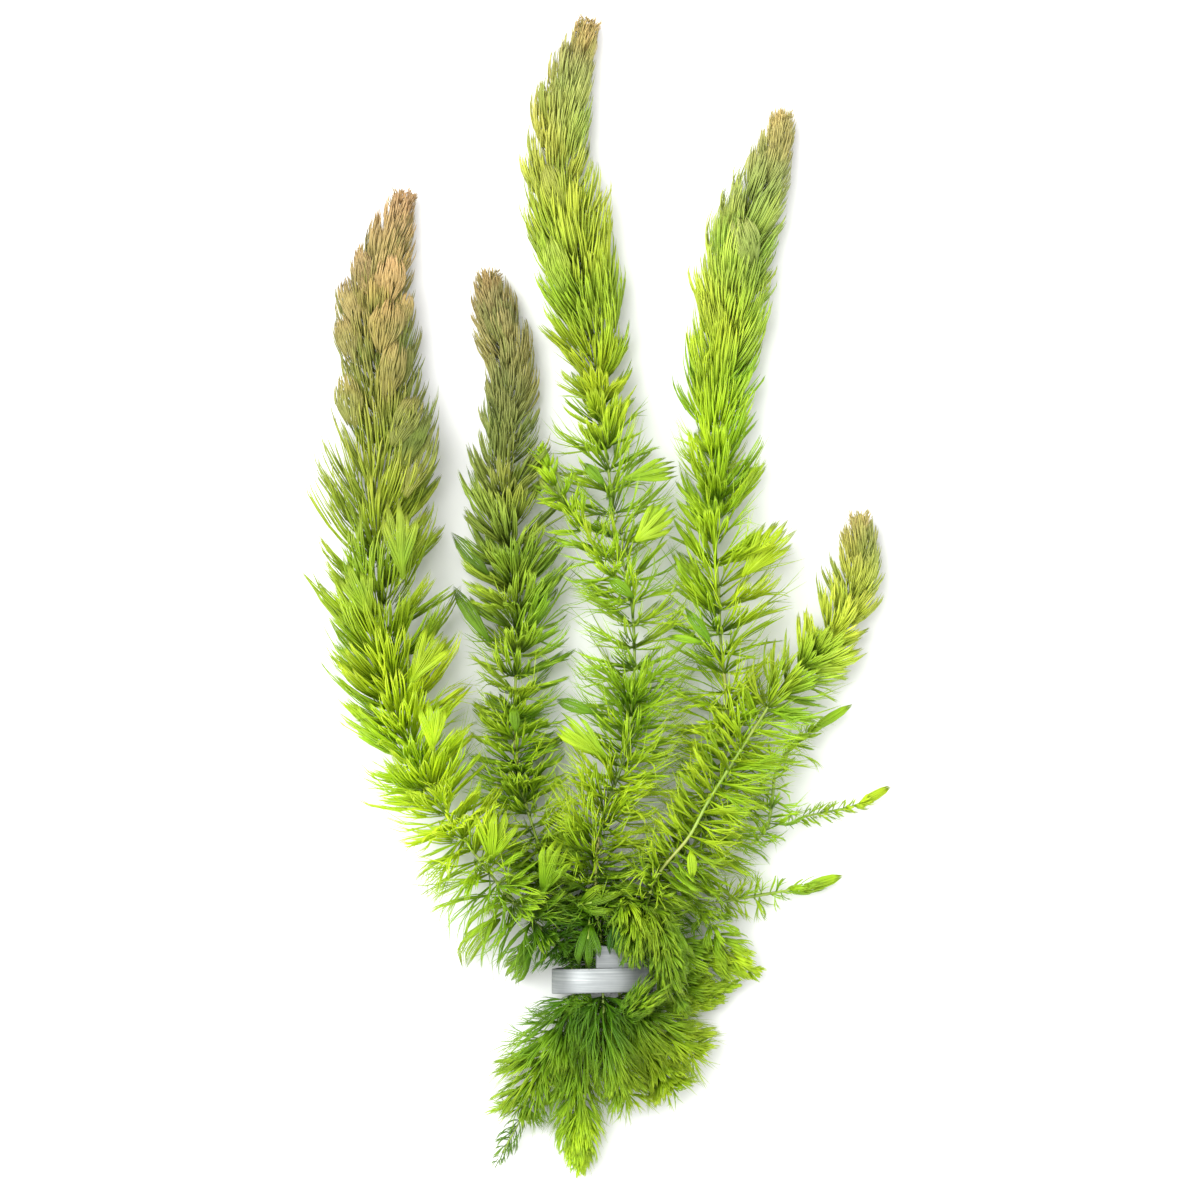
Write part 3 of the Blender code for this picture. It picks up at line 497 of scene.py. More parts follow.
class Leaves:
    """One value to a leaf: where it leaves the stem, which way it points, how far it goes, and its looks."""

    def __init__(self, stem, random, open_leaves, keep_off_strip):
        marks = whorl_marks(stem)
        if keep_off_strip:
            marks = marks[np.abs(stem.frame(marks)[0][:, 1]) > STRIP_HALF_LENGTH]
        close = stem.read(stem.closeness, marks)
        counts = np.rint(open_leaves + (min(CLOSE_LEAVES, open_leaves) - open_leaves) * close).astype(int)
        n = counts.sum()
        whorl = np.repeat(np.arange(len(marks)), counts)
        in_whorl = np.arange(n) - np.repeat(np.cumsum(counts) - counts, counts)
        mark = marks[whorl]
        close = close[whorl]
        mean_angle = stem.read(stem.angle, mark)
        scale = close * under_angle(mean_angle, *SCALES_BELOW)
        feathers = np.where(stem.frame(mark)[0][:, 1] > 0, FEATHER_SHARE, FEATHER_SHARE_BELOW)
        shares = np.cumsum([scale, close - scale, (1 - close) * feathers], axis=0)
        self.kind = (random.uniform(0, 1, n) > shares).sum(axis=0)
        self.root = np.clip(mark + random.uniform(-1, 1, n) * ROOT_SPREADS[self.kind], 0, stem.length - 1)
        jitter = random.uniform(-TURN_JITTER, TURN_JITTER, n)
        self.turn = 2 * np.pi / counts[whorl] * (in_whorl + WHORL_SHIFT * whorl + jitter)
        self.hug = LOOSE_HUG + TIGHT_HUG * under_angle(mean_angle, *TIGHT_BELOW)
        self.fur = under_angle(mean_angle, *FUR_BELOW)
        self.aim(stem, random, mean_angle * ANGLE_SHARES[self.kind])
        self.tone = random.uniform(0.15, 0.9, n)
        self.floor = random.uniform(0.35, 1.6, n)
        self.width = random.uniform(0.82, 1.18, n)
        self.fork_plane = random.uniform(0, np.pi, n)
        self.bow = random.normal(0, 1, n) * BOWS[self.kind]

    def aim(self, stem, random, mean_angle):
        """How far each leaf goes ahead along the stem and out from it: ahead = reach / tan(angle).

        The reach is read where the leaf ends, which hangs on the reach, so a few rounds settle it."""
        n = len(self.root)
        angle = np.radians(mean_angle + random.normal(0, 1, n) * ANGLE_SPREADS[self.kind])
        angle = np.clip(angle, LEAST_ANGLE, np.pi - LEAST_ANGLE)
        usual_reach = stem.read(stem.reach, self.root)
        target = self.root + usual_reach / np.tan(angle)
        for _ in range(REACH_ROUNDS):
            target = (target + self.root + stem.read(stem.reach, target) / np.tan(angle)) / 2
        past_end = target > stem.length - SHORT_OF_TIP
        reach = stem.read(stem.reach, target)
        furthest = FURTHEST_SHARE * np.abs(usual_reach / np.tan(np.radians(mean_angle)))
        furthest = furthest + FURTHEST_REACH_SHARE * usual_reach
        ahead = np.clip(reach / np.tan(angle), -furthest, furthest)
        ahead = np.minimum(ahead, stem.length - self.root + random.uniform(0.2, 1.5, n))
        self.ahead = np.maximum(ahead, -self.root - OVER_CUT_END * random.uniform(0.3, 1, n))
        pressed, open_ones = random.uniform(0.9, 1.12, n), random.uniform(0.88, 1.12, n)
        longer = np.where(self.kind < FEATHER, pressed, open_ones)
        longer = 1 + (longer - 1) * (1 - 0.7 * self.fur)
        reach = reach * np.where(past_end, random.uniform(0.05, 1.0, n) ** 0.5, longer)
        self.reach = reach * (1 + stem.read(stem.lean, self.root) * np.cos(self.turn))

    def only(self, picked):
        """The picked leaves alone."""
        part = object.__new__(Leaves)
        part.__dict__ = {key: value[picked] for key, value in self.__dict__.items()}
        return part


print("leaves of an open whorl:", OPEN_LEAVES, "and of a close one:", CLOSE_LEAVES)

# %% [markdown]
# ## Scales, fans and feathers
#
# A leaf's strands follow the leaf's own line and differ from it by three numbers each: how far they are
# across, along and deep. A scale is a bundle of strands over half an egg. A fan has strands drawn together
# in pointed fingers, and a feather is a narrow fan with fewer of them. So the kinds differ only in these
# offsets.

# %% Strands of a scale, a fan and a feather
STATIONS = np.array([0.0, 0.4, 0.75, 1.0])
SCALE_OUTER_STRANDS = 17
SCALE_INNER_STRANDS = 8
SCALE_WIDTH = 0.42
SCALE_DOME = 0.42
SCALE_OUTLINE = ((0.0, 0.4, 0.75, 1.0), (0.25, 0.9, 0.95, 0.5))
# how loosely the outer and the inner strands lie, and how deep the inner ones are sunk
SCALE_LOOSENESS = (0.08, 0.75)
INNER_SUNK = 0.3
FUR_LENGTH = 1.3
FAN_CUP = 0.35
FINGER_OVERLAP = 1.35
FINGER_THICKNESS = 0.8
# fingers, strands in a finger, and the half width as a share of the leaf's reach
FAN_SHAPE = (5, 7, 0.33)
FEATHER_SHAPE = (3, 4, 0.17)


def scale_offsets(leaves, random):
    """How far each strand of a scale is across, along and deep from the leaf's line, and its share of length.

    Across = width * place * outline, deep = width * dome * (1 - place^2) * outline, and the length is less by
    a fifth of place^2. Furry leaves are flat, and their strands set off further back along the stem."""
    n, strands = len(leaves.root), SCALE_OUTER_STRANDS + SCALE_INNER_STRANDS
    outer = np.arange(strands) < SCALE_OUTER_STRANDS
    place = np.concatenate([np.linspace(-1, 1, SCALE_OUTER_STRANDS), np.zeros(SCALE_INNER_STRANDS)])
    loose = np.where(outer, *SCALE_LOOSENESS)[:, None] * random.uniform(-1, 1, (n, strands, 1))
    place = np.clip(place[:, None] + loose, -1, 1)
    begin = random.uniform(0, 0.5, (n, strands, 1))
    length = (1 - 0.2 * place**2) * (begin + random.uniform(0.4, 0.5, (n, strands, 1)))
    width = (SCALE_WIDTH * leaves.width * leaves.reach)[:, None, None]
    share = begin + (length - begin) * STATIONS
    outline = np.interp(share, *SCALE_OUTLINE)
    fur = leaves.fur[:, None, None]
    dome = SCALE_DOME * (1 - place**2) * (1 - fur) - np.where(outer, 0.0, INNER_SUNK)[:, None]
    back = fur * random.uniform(-FUR_LENGTH, 0, (n, strands, 1)) * leaves.reach[:, None, None]
    return width * place * outline, back + 0 * STATIONS, width * dome * outline, share


def finger_shape(share):
    """Half width of a finger: narrow at its foot, widest before its middle, and a point at its end."""
    return np.sin(np.pi * (0.12 + 0.88 * np.clip(share, 0, 1) ** 1.15))


def finger_offsets(leaves, random, fingers, strands, half_width):
    """The same four values for a leaf whose strands are drawn together in pointed fingers that spread out.

    Across = width * (finger's place * opening + strand's place in the finger * finger shape). Deep is alike,
    and the outer fingers curl under by cup * finger's place^2."""
    n = len(leaves.root)
    places = np.linspace(-1, 1, fingers)[None, :, None, None]
    finger = places + random.uniform(-0.5, 0.5, (n, fingers, 1, 1)) / fingers
    in_finger = random.uniform(-1, 1, (2, n, fingers, strands, 1))
    length = 1 - 0.22 * finger**2 - random.uniform(0, 0.2, (n, fingers, 1, 1))
    begin = 0.45 * random.uniform(0, 1, in_finger.shape[1:]) ** 1.5
    share = length * (begin + (1 - begin - random.uniform(0, 0.08, begin.shape)) * STATIONS)
    width = (half_width * leaves.width * leaves.reach)[:, None, None, None]
    point = finger_shape(share / length)
    opening = 0.08 + 0.92 * np.minimum(share / 0.85, 1.0) ** 0.85
    across = width * (finger * opening + FINGER_OVERLAP / fingers * in_finger[0] * point)
    raised = random.uniform(-0.3, 0.3, (n, fingers, 1, 1))
    deep = (raised - FAN_CUP * finger**2) * opening + FINGER_THICKNESS / fingers * in_finger[1] * point
    shape = (n, fingers * strands, len(STATIONS))
    return across.reshape(shape), np.zeros(shape), (width * deep).reshape(shape), share.reshape(shape)


def fan_offsets(leaves, random):
    """A fan is five fingers of seven strands."""
    return finger_offsets(leaves, random, *FAN_SHAPE)


def feather_offsets(leaves, random):
    """A feather is three slim fingers of four strands."""
    return finger_offsets(leaves, random, *FEATHER_SHAPE)


print("strands of a scale:", SCALE_OUTER_STRANDS + SCALE_INNER_STRANDS, "of a fan:", np.prod(FAN_SHAPE[:2]))

# %% [markdown]
# ## Forks
#
# Lower down, where the bunch was under water for longer, the leaves stand open and show how they fork.
# Eight strands share a foot and part in two at each of three places, so they come out as a small tree of
# threads.

# %% Strands of a forked leaf
FORK_STATIONS = np.array([0.0, 0.3, 0.65, 1.0])
FORK_PLACES = (0.2, 0.45, 0.7)
FORK_SIZES = (0.3, 0.28, 0.24)
FORK_TURN = 0.7
FORK_TURN_SPREAD = 0.5


def fork_offsets(leaves, random):
    """The same four values for an open leaf, whose strands part at three forks.

    Each fork adds its size * (share - place) to one side or the other, in a plane turned round the leaf."""
    n, strands = len(leaves.root), 2 ** len(FORK_PLACES)
    share = (1 - random.uniform(0, 0.3, (n, strands, 1))) * FORK_STATIONS
    across, along = np.zeros(share.shape), np.zeros(share.shape)
    for level, (place, size) in enumerate(zip(FORK_PLACES, FORK_SIZES)):
        sign = np.where(np.arange(strands) // 2**level % 2 == 0, 1.0, -1.0)[None, :, None]
        turn = random.normal(FORK_TURN * level, FORK_TURN_SPREAD, (n, 1, 1))
        plane = leaves.fork_plane[:, None, None] + turn
        part = sign * size * random.uniform(0.6, 1.4, (n, strands, 1)) * np.clip(share - place, 0, None)
        part = part * leaves.reach[:, None, None]
        across, along = across + part * np.cos(plane), along + part * np.sin(plane)
    return across, along, random.normal(0, 0.03, share.shape) * share, share


print("forks:", len(FORK_PLACES), "and strands of a forked leaf:", 2 ** len(FORK_PLACES))

# %% [markdown]
# ## Paths of the strands
#
# Now the offsets become places in space. The leaf's line is worked out in the stem's own frame, so it bends
# with the stem. Leaves that would go under the table bend up over it, softly and not all at the same
# height.

# %% Paths of the strands
TABLE_SOFTNESS = 0.8
CEILING = 32.6
UPWARD_SWEEP = 1.12
WANDER = 0.025
FOOT_DEPTH = 0.6
NEAR_STRIP = 30.0
CLEAR_OF_STRIP = 0.9
SHORTENING_STEPS = 14
SHORTENING = 0.85
LEAF_OFFSETS = {SCALE: scale_offsets, FAN: fan_offsets, FEATHER: feather_offsets, FORK: fork_offsets}


def between_table_and_ceiling(z, level):
    """Heights under the level bend up over it and heights over the ceiling bend down under it.

    Each bend is level + w * ln(1 + exp((z - level) / w))."""
    z = level + np.logaddexp(0.0, (z - level) / TABLE_SOFTNESS) * TABLE_SOFTNESS
    return CEILING - np.logaddexp(0.0, (CEILING - z) / TABLE_SOFTNESS) * TABLE_SOFTNESS


def strand_lines(stem, leaves, random, offsets):
    """Centre lines of all strands, as leaf by strand by station by x, y, z, and their share of the length.

    Out = foot + (reach - foot) * (1 - (1 - share)^hug), so the leaf runs outwards fast at first and then more
    along the stem. Ahead grows as share^1.12."""
    across, along, deep, share = offsets(leaves, random)
    n, strands, _ = share.shape
    reach = leaves.reach[:, None, None]
    wander = random.normal(0, WANDER, (2, n, strands, 1)) * reach * share**2
    s = leaves.root[:, None, None] + leaves.ahead[:, None, None] * share**UPWARD_SWEEP + along + wander[0]
    s = s + leaves.bow[:, None, None] * reach * np.sin(np.pi * share)
    base = FOOT_DEPTH * stem.radius(leaves.root)[:, None, None]
    out = base + (reach - base) * (1 - (1 - share) ** leaves.hug[:, None, None]) + deep
    centre, side, top = stem.frame(s)
    turn = leaves.turn[:, None, None, None]
    outwards = np.cos(turn) * side + np.sin(turn) * top
    sideways = np.cos(turn) * top - np.sin(turn) * side
    lines = centre + out[..., None] * outwards + (across + wander[1])[..., None] * sideways
    lines[..., 2] = between_table_and_ceiling(lines[..., 2], leaves.floor[:, None, None])
    return lines, share, sideways[:, :1, :1]


def clear_of_strip(stem, leaves):
    """Shortens the leaves near the strip, in small steps, until they keep clear of it."""
    near = np.abs(stem.frame(leaves.root)[0][:, 1]) < NEAR_STRIP
    if not near.any():
        return
    for _ in range(SHORTENING_STEPS):
        part = leaves.only(near)
        lines, _, _ = strand_lines(stem, part, np.random.default_rng(1), fork_offsets)
        gaps = lines.reshape(len(part.root), -1, 1, 3) - strip_net
        gaps = np.linalg.norm(gaps, axis=-1).min(axis=(1, 2))
        factor = np.where(gaps < CLEAR_OF_STRIP, SHORTENING, 1.0)
        leaves.reach[near] *= factor
        leaves.ahead[near] *= factor


print("kinds of leaf:", len(LEAF_OFFSETS))

# %% [markdown]
# ## Tufts and buds
#
# Side shoots end in a tuft of pointed lances, or in a closed bud. A tuft is a short stem of its own, whose
# strands lie across it in lances. A bud has them all round, drawn together where the stem's reach grows
# small.

# %% Tufts
TUFT_THICKNESS = 0.35
TUFT_STRANDS = 14
TUFT_FLOOR = 0.6
LANCE_OVERLAP = 1.1
BUD_STRANDS = 34
BUD_THICKNESS = 0.7
BUD_SLIMNESS = 0.72


def beside_stem(stem, s, share, across, deep):
    """Strands at distance s of a stem: point = centre + across * side + deep * top, kept over the table."""
    centre, side, top = stem.frame(s)
    lines = centre + across[..., None] * side + deep[..., None] * top
    lines[..., 2] = between_table_and_ceiling(lines[..., 2], TUFT_FLOOR)
    return lines, share, side[:, :1, :1]


def tuft_lines(stem, begin, fingers, random):
    """A tuft: pointed lances that spread from one foot, from the begin share of the stem to its end.

    Across = reach * lance's place * opening + half width of the lance * strand's place in it."""
    t = np.linspace(0, 1, 5)
    place = np.linspace(-1, 1, fingers)[:, None, None] + random.uniform(-0.5, 0.5, (fingers, 1, 1)) / fingers
    layer = np.where(np.arange(fingers) % 2 == 0, 0.5, -0.5)[:, None, None]
    layer = layer + random.uniform(-0.2, 0.2, place.shape)
    start = stem.length * (begin + (1 - begin) * random.uniform(0, 0.15, place.shape))
    end = stem.length * (1 - (1 - begin) * (0.14 * place**2 + random.uniform(0, 0.16, place.shape)))
    share = (1 - random.uniform(0, 0.06, (fingers, TUFT_STRANDS, 1))) * t
    s = start + (end - start) * share
    reach = stem.read(stem.reach, s)
    widest = stem.read(stem.reach, np.linspace(begin, 1, 20) * stem.length).max()
    lance_width = widest * LANCE_OVERLAP / fingers * finger_shape(share)
    inner = np.linspace(-1, 1, TUFT_STRANDS)[None, :, None]
    inner = inner + random.uniform(-0.2, 0.2, (fingers, TUFT_STRANDS, 1))
    across = reach * place * np.minimum(0.15 + share, 1.0) + lance_width * inner
    raised = layer * reach * (1 - 0.6 * place**2) * np.minimum(0.4 + share, 1.0)
    rounded = lance_width * (1 - inner**2 + 0.4 * random.uniform(-1, 1, inner.shape))
    return beside_stem(stem, s, share, across, TUFT_THICKNESS * (raised + rounded))


def bud_lines(stem, begin, random):
    """A closed bud: strands all round the stem, as far out as the reach, which draws them to a point."""
    turn = np.arange(BUD_STRANDS)[None, :, None] + random.uniform(-0.4, 0.4, (1, BUD_STRANDS, 1))
    turn = 2 * np.pi / BUD_STRANDS * turn
    share = (1 - random.uniform(0, 0.12, turn.shape)) * np.linspace(0, 1, 5)
    s = stem.length * (begin + (1 - begin) * share)
    reach = stem.read(stem.reach, s) * BUD_SLIMNESS * random.uniform(0.85, 1.0, turn.shape)
    reach = reach * np.minimum(1, 4 * (1.03 - share)) * np.minimum(1, 0.2 + 3 * share)
    return beside_stem(stem, s, share, reach * np.cos(turn), BUD_THICKNESS * reach * np.sin(turn))


print("strands of a lance:", TUFT_STRANDS, "and of a bud:", BUD_STRANDS)

# %% [markdown]
# ## Scales in front
#
# The photograph shows some scales whole, because they lie on top of a plume. Each gets a place of its own
# on the plume's rounded front, and a dome of short needles.

# %% Single scales in front of a plume
ON_TOP_STRANDS = 96
ON_TOP_LENGTH = 0.34
ON_TOP_DOME = 0.4
ON_TOP_LIFT = 0.12


def front_of(stem, x, y, sunk):
    """The point at x, y on a plume's rounded front: z = stem's z + sunk * sqrt(reach^2 - distance^2)."""
    nearest = np.argmin(np.hypot(stem.points[:, 0] - x, stem.points[:, 1] - y))
    distance = np.hypot(*(stem.points[nearest, :2] - (x, y)))
    rise = np.sqrt(max(stem.reach[nearest] ** 2 - distance**2, 1.0))
    return np.array([x, y, stem.points[nearest, 2] + sunk * rise])


def dome_lines(stem, random):
    """A domed scale of short needles that overlap like fur.

    Deep = reach * (dome * (1 - place^2) + lift * share of the needle)."""
    t = np.linspace(0, 1, 4)
    place = np.linspace(-1, 1, ON_TOP_STRANDS)[None, :, None]
    begin = random.uniform(0, 1 - ON_TOP_LENGTH, place.shape) * (1 - 0.2 * place**2)
    share = begin + ON_TOP_LENGTH * t
    s = stem.length * share
    reach = stem.read(stem.reach, s)
    dome = ON_TOP_DOME * (1 - place**2) + ON_TOP_LIFT * t + random.uniform(-ON_TOP_LIFT, 0.0, place.shape)
    return beside_stem(stem, s, share, reach * place, dome * reach)


print("needles of a scale in front:", ON_TOP_STRANDS)

# %% [markdown]
# ## Strands into mesh
#
# Every strand is a thread with a three-cornered section, thick in its middle and drawn out to a point,
# closed at its foot. All strands of a stem are computed together as one array and written into one mesh.
# Four values are kept at each point for the material: how far along the shoot it is, how far out along the
# leaf, a random tone for each leaf, and how deep in the bunch it lies, for the painted shade that darkens the
# leaves inside the bunch, where the rest of the bunch shades them.

# %% Mesh of many strands
THREAD_FLATNESS = 0.75
# painted shade inside the bunch: its middle and its size in x and y, the height over which it fades, and its
# strength
PAINTED_SHADE_PLACE = (-1.0, 3.0)
PAINTED_SHADE_SIZE = (24.0, 32.0)
PAINTED_SHADE_BELOW = 31.0
PAINTED_SHADE_FADE = 12.0
PAINTED_SHADE_STRENGTH = 1.65
LEAST_HEIGHT = 0.05
# places along a strand, and its thickness there
THREAD_TAPER = ((0.0, 0.25, 0.7, 1.0), (0.8, 1.0, 0.85, 0.35))


def strand_corners(lines, sideways, half_width, random):
    """Three corners round each station but the last, and the tip.

    corner = line + width * (cos(a) * across + flatness * sin(a) * depth), with a a third of a turn apart."""
    n, strands, stations, _ = lines.shape
    heading = unit(np.gradient(lines, axis=2))
    depth = unit(np.cross(heading, np.broadcast_to(sideways, heading.shape)))
    across = np.cross(depth, heading)
    corner = (2 * np.pi / 3 * np.arange(3) + random.uniform(0, 2 * np.pi, (n, strands, 1, 1)))[..., None]
    taper = np.interp(np.linspace(0, 1, stations), *THREAD_TAPER)[:-1]
    width = half_width[:, None, None, None, None] * taper[:, None, None]
    ring = np.cos(corner) * across[:, :, :-1, None]
    ring += THREAD_FLATNESS * np.sin(corner) * depth[:, :, :-1, None]
    return lines[:, :, :-1, None] + width * ring, lines[:, :, -1]


def strand_faces(count, stations):
    """Corner numbers of all quads and triangles. A strand's points are its rings, then its tip."""
    rings = stations - 1
    ring, corner = np.meshgrid(np.arange(rings - 1), np.arange(3), indexing="ij")
    after = (corner + 1) % 3
    low, high = 3 * ring, 3 * ring + 3
    quads = np.stack([low + corner, low + after, high + after, high + corner], axis=-1)
    last = 3 * (rings - 1)
    triangles = np.array([[0, 2, 1]] + [[last + j, last + (j + 1) % 3, 3 * rings] for j in range(3)])
    start = (3 * rings + 1) * np.arange(count)[:, None, None]
    return quads.reshape(1, -1, 4) + start, triangles[None] + start


def painted_shade_in_bunch(points, out):
    """Painted shade: strength * exp(-(x/a)^2 - (y/b)^2) round the middle of the bunch, less near the front
    and at the leaves' ends.
    """
    x, y = ((points[:, i] - PAINTED_SHADE_PLACE[i]) / PAINTED_SHADE_SIZE[i] for i in range(2))
    below = smooth_step((PAINTED_SHADE_BELOW - points[:, 2]) / PAINTED_SHADE_FADE)
    middle = PAINTED_SHADE_STRENGTH * np.exp(-(x**2) - y**2)
    return np.clip(middle * (0.25 + 0.75 * below) * (1 - 0.4 * out), 0, 1)


class Strands:
    """Collects the points, faces and point values of strands until they are made one mesh."""

    def __init__(self):
        self.points, self.quads, self.triangles, self.values = [], [], [], []
        self.count = 0

    def add(self, lines, share, sideways, half_width, random, along, tone):
        """Adds strands. Along and tone have one value to a leaf, the share one to each station."""
        n, strands, stations, _ = lines.shape
        if n == 0:
            return
        corners, tips = strand_corners(lines, sideways, half_width, random)
        rings = corners.reshape(n * strands, -1, 3)
        points = np.concatenate([rings, tips.reshape(n * strands, 1, 3)], axis=1)
        quads, triangles = strand_faces(n * strands, stations)
        out = np.concatenate([np.repeat(share[:, :, :-1], 3, axis=2), share[:, :, -1:]], axis=2)
        values = [np.broadcast_to(x[:, None, None], out.shape) for x in (along, tone)]
        self.points.append(points.reshape(-1, 3))
        self.quads.append(quads.reshape(-1, 4) + self.count)
        self.triangles.append(triangles.reshape(-1, 3) + self.count)
        self.values.append(np.stack([values[0].ravel(), out.ravel(), values[1].ravel()]))
        self.count += points.shape[0] * points.shape[1]

    def piece(self, name, material):
        """One mesh object with the values along, out, tone and deep, the painted shade in the bunch, at its
        points.
        """
        points = np.concatenate(self.points)
        points[:, 2] = np.maximum(points[:, 2], LEAST_HEIGHT)
        values = np.concatenate(self.values, axis=1)
        values = np.vstack([values, painted_shade_in_bunch(points, values[1])])
        quads, triangles = np.concatenate(self.quads), np.concatenate(self.triangles)
        mesh = bpy.data.meshes.new(name)
        mesh.vertices.add(len(points))
        mesh.vertices.foreach_set("co", (points * MM).ravel())
        corners = np.concatenate([quads.ravel(), triangles.ravel()])
        sizes = np.concatenate([np.full(len(quads), 4), np.full(len(triangles), 3)])
        mesh.loops.add(len(corners))
        mesh.loops.foreach_set("vertex_index", corners)
        mesh.polygons.add(len(sizes))
        mesh.polygons.foreach_set("loop_start", np.concatenate([[0], np.cumsum(sizes)[:-1]]))
        mesh.update(calc_edges=True)
        mesh.shade_smooth()
        for key, value in zip(("along", "out", "tone", "deep"), values):
            mesh.attributes.new(key, "FLOAT", "POINT").data.foreach_set("value", value.astype(np.float32))
        mesh.materials.append(material)
        print(name, "triangles:", 2 * len(quads) + len(triangles))
        return add_object(name, mesh)


# %% [markdown]
# ## Leaf green
#
# The colours come from shader nodes. A few helpers put them together: one reads a value that is stored on the
# mesh, one turns a value into a colour, one mixes two colours, and one adds soft noise.


# %% Helpers for materials
def linear(red, green, blue):
    """A colour given as 0 to 255 values of a screen, as the linear values that a shader takes."""
    screen = np.array([red, green, blue]) / 255
    return (*np.where(screen <= 0.04045, screen / 12.92, ((screen + 0.055) / 1.055) ** 2.4), 1.0)


def value_of(tree, name):
    """A node that reads a value stored on the mesh."""
    node = tree.nodes.new("ShaderNodeAttribute")
    node.attribute_name = name
    return node.outputs["Fac"]


def ramp(tree, factor, stops):
    """A colour ramp through places with a colour each: three screen values, or four linear ones."""
    node = tree.nodes.new("ShaderNodeValToRGB")
    elements = node.color_ramp.elements
    while len(elements) < len(stops):
        elements.new(0.5)
    for element, (place, colour) in zip(elements, stops):
        element.position = place
        element.color = linear(*colour) if len(colour) == 3 else colour
    tree.links.new(factor, node.inputs["Fac"])
    return node.outputs["Color"]


def grey_ramp(tree, factor, stops):
    """A ramp of greys, to be used as numbers."""
    return ramp(tree, factor, [(place, (grey, grey, grey, 1.0)) for place, grey in stops])


def mixed(tree, factor, first, second, blend="MIX"):
    """Mixes two colours. Each may be a socket or a fixed colour."""
    node = tree.nodes.new("ShaderNodeMix")
    node.data_type = "RGBA"
    node.blend_type = blend
    for socket, value in ((node.inputs["Factor"], factor), (node.inputs[6], first), (node.inputs[7], second)):
        if isinstance(value, bpy.types.NodeSocket):
            tree.links.new(value, socket)
        else:
            socket.default_value = value
    return node.outputs[2]


def noise(tree, scale, detail=2.0, stretch=(1.0, 1.0, 1.0)):
    """Soft noise in the object's own coordinates, with its scale in spots to a metre, times the stretch."""
    node = tree.nodes.new("ShaderNodeTexNoise")
    place = tree.nodes.new("ShaderNodeTexCoord")
    mapping = tree.nodes.new("ShaderNodeMapping")
    mapping.inputs["Scale"].default_value = stretch
    node.inputs["Scale"].default_value = scale
    node.inputs["Detail"].default_value = detail
    tree.links.new(place.outputs["Object"], mapping.inputs["Vector"])
    tree.links.new(mapping.outputs["Vector"], node.inputs["Vector"])
    return node.outputs["Fac"]


print("half grey of a screen as a linear value:", round(float(linear(128, 128, 128)[0]), 3))

# %% [markdown]
# ## Colours along a shoot
#
# The colour of a leaf changes along the shoot: lime where it is fresh, olive higher up, and a pinkish brown
# at the growing tip, where new leaves are packed. Each leaf gets painted shade at its foot, next to the stem,
# and more painted shade deep in the bunch. The material reads these from the values stored on the mesh, and
# adds a slow blotchy change and a fine streak.

# %% Materials of the leaves
# painted shade at each leaf's foot, next to the stem
PAINTED_FOOT_SHADE = (0.5, 0.62, 0.32, 1.0)
# painted shade for leaves deep inside the bunch
PAINTED_SHADE_TINT = (0.24, 0.38, 0.2, 1.0)
TONES = [(0.0, (0.4, 0.56, 0.42, 1)), (0.15, (0.72, 0.82, 0.66, 1)), (0.5, (1, 1, 1, 1)),
         (1.0, (1.2, 1.14, 1.1, 1))]
# spots to a metre
BLOTCHES = 90.0
PATCHES = 32.0
STREAKS = 900.0


def leaf_material(name, stops, tips, foot_shade_strength=0.9):
    """Colour along the shoot with another at the leaves' tips, and painted shade at the foot and deep in the
    bunch.
    """
    material, tree, shader = new_material(name)
    along, out, tone = (value_of(tree, key) for key in ("along", "out", "tone"))
    colour = ramp(tree, along, stops)
    at_tip = grey_ramp(tree, out, [(0.5, 0.0), (1.0, 0.8)])
    colour = mixed(tree, at_tip, colour, ramp(tree, along, tips))
    # painted shade at each leaf's foot, where the whorl shades it; leaves of a bright tone get little of it
    foot = grey_ramp(tree, out, [(0.0, foot_shade_strength), (0.18, 0.45 * foot_shade_strength), (0.45, 0.0)])
    foot_shade_by_tone = grey_ramp(tree, tone, [(0.0, 1.0), (0.5, 0.8), (0.72, 0.15)])
    foot = mixed(tree, 1.0, foot, foot_shade_by_tone, "MULTIPLY")
    colour = mixed(tree, foot, colour, mixed(tree, 1.0, colour, PAINTED_FOOT_SHADE, "MULTIPLY"))
    colour = mixed(tree, 1.0, colour, ramp(tree, tone, TONES), "MULTIPLY")
    # painted shade: the deep value mixes leaves inside the bunch towards a dark green
    deep = mixed(tree, 1.0, colour, PAINTED_SHADE_TINT, "MULTIPLY")
    colour = mixed(tree, value_of(tree, "deep"), colour, deep)
    blotches = grey_ramp(tree, noise(tree, BLOTCHES), [(0.3, 0.66), (0.7, 0.95)])
    colour = mixed(tree, 1.0, colour, blotches, "MULTIPLY")
    patches = ramp(tree, noise(tree, PATCHES), [(0.38, (0.8, 0.92, 0.8, 1)), (0.62, (1.06, 1.0, 0.75, 1))])
    colour = mixed(tree, 1.0, colour, patches, "MULTIPLY")
    tree.links.new(colour, shader.inputs["Base Color"])
    roughness = grey_ramp(tree, noise(tree, STREAKS), [(0.3, 0.36), (0.7, 0.56)])
    tree.links.new(roughness, shader.inputs["Roughness"])
    shader.inputs["Specular IOR Level"].default_value = 0.35
    return material


# named by what they look like on the plant, dark to bright and green to pinkish brown
LIME = (190, 226, 42)
FRESH = (172, 212, 38)
LEAF_GREEN = (156, 200, 38)
YELLOW_GREEN = (204, 230, 62)
BRIGHT = (220, 250, 42)

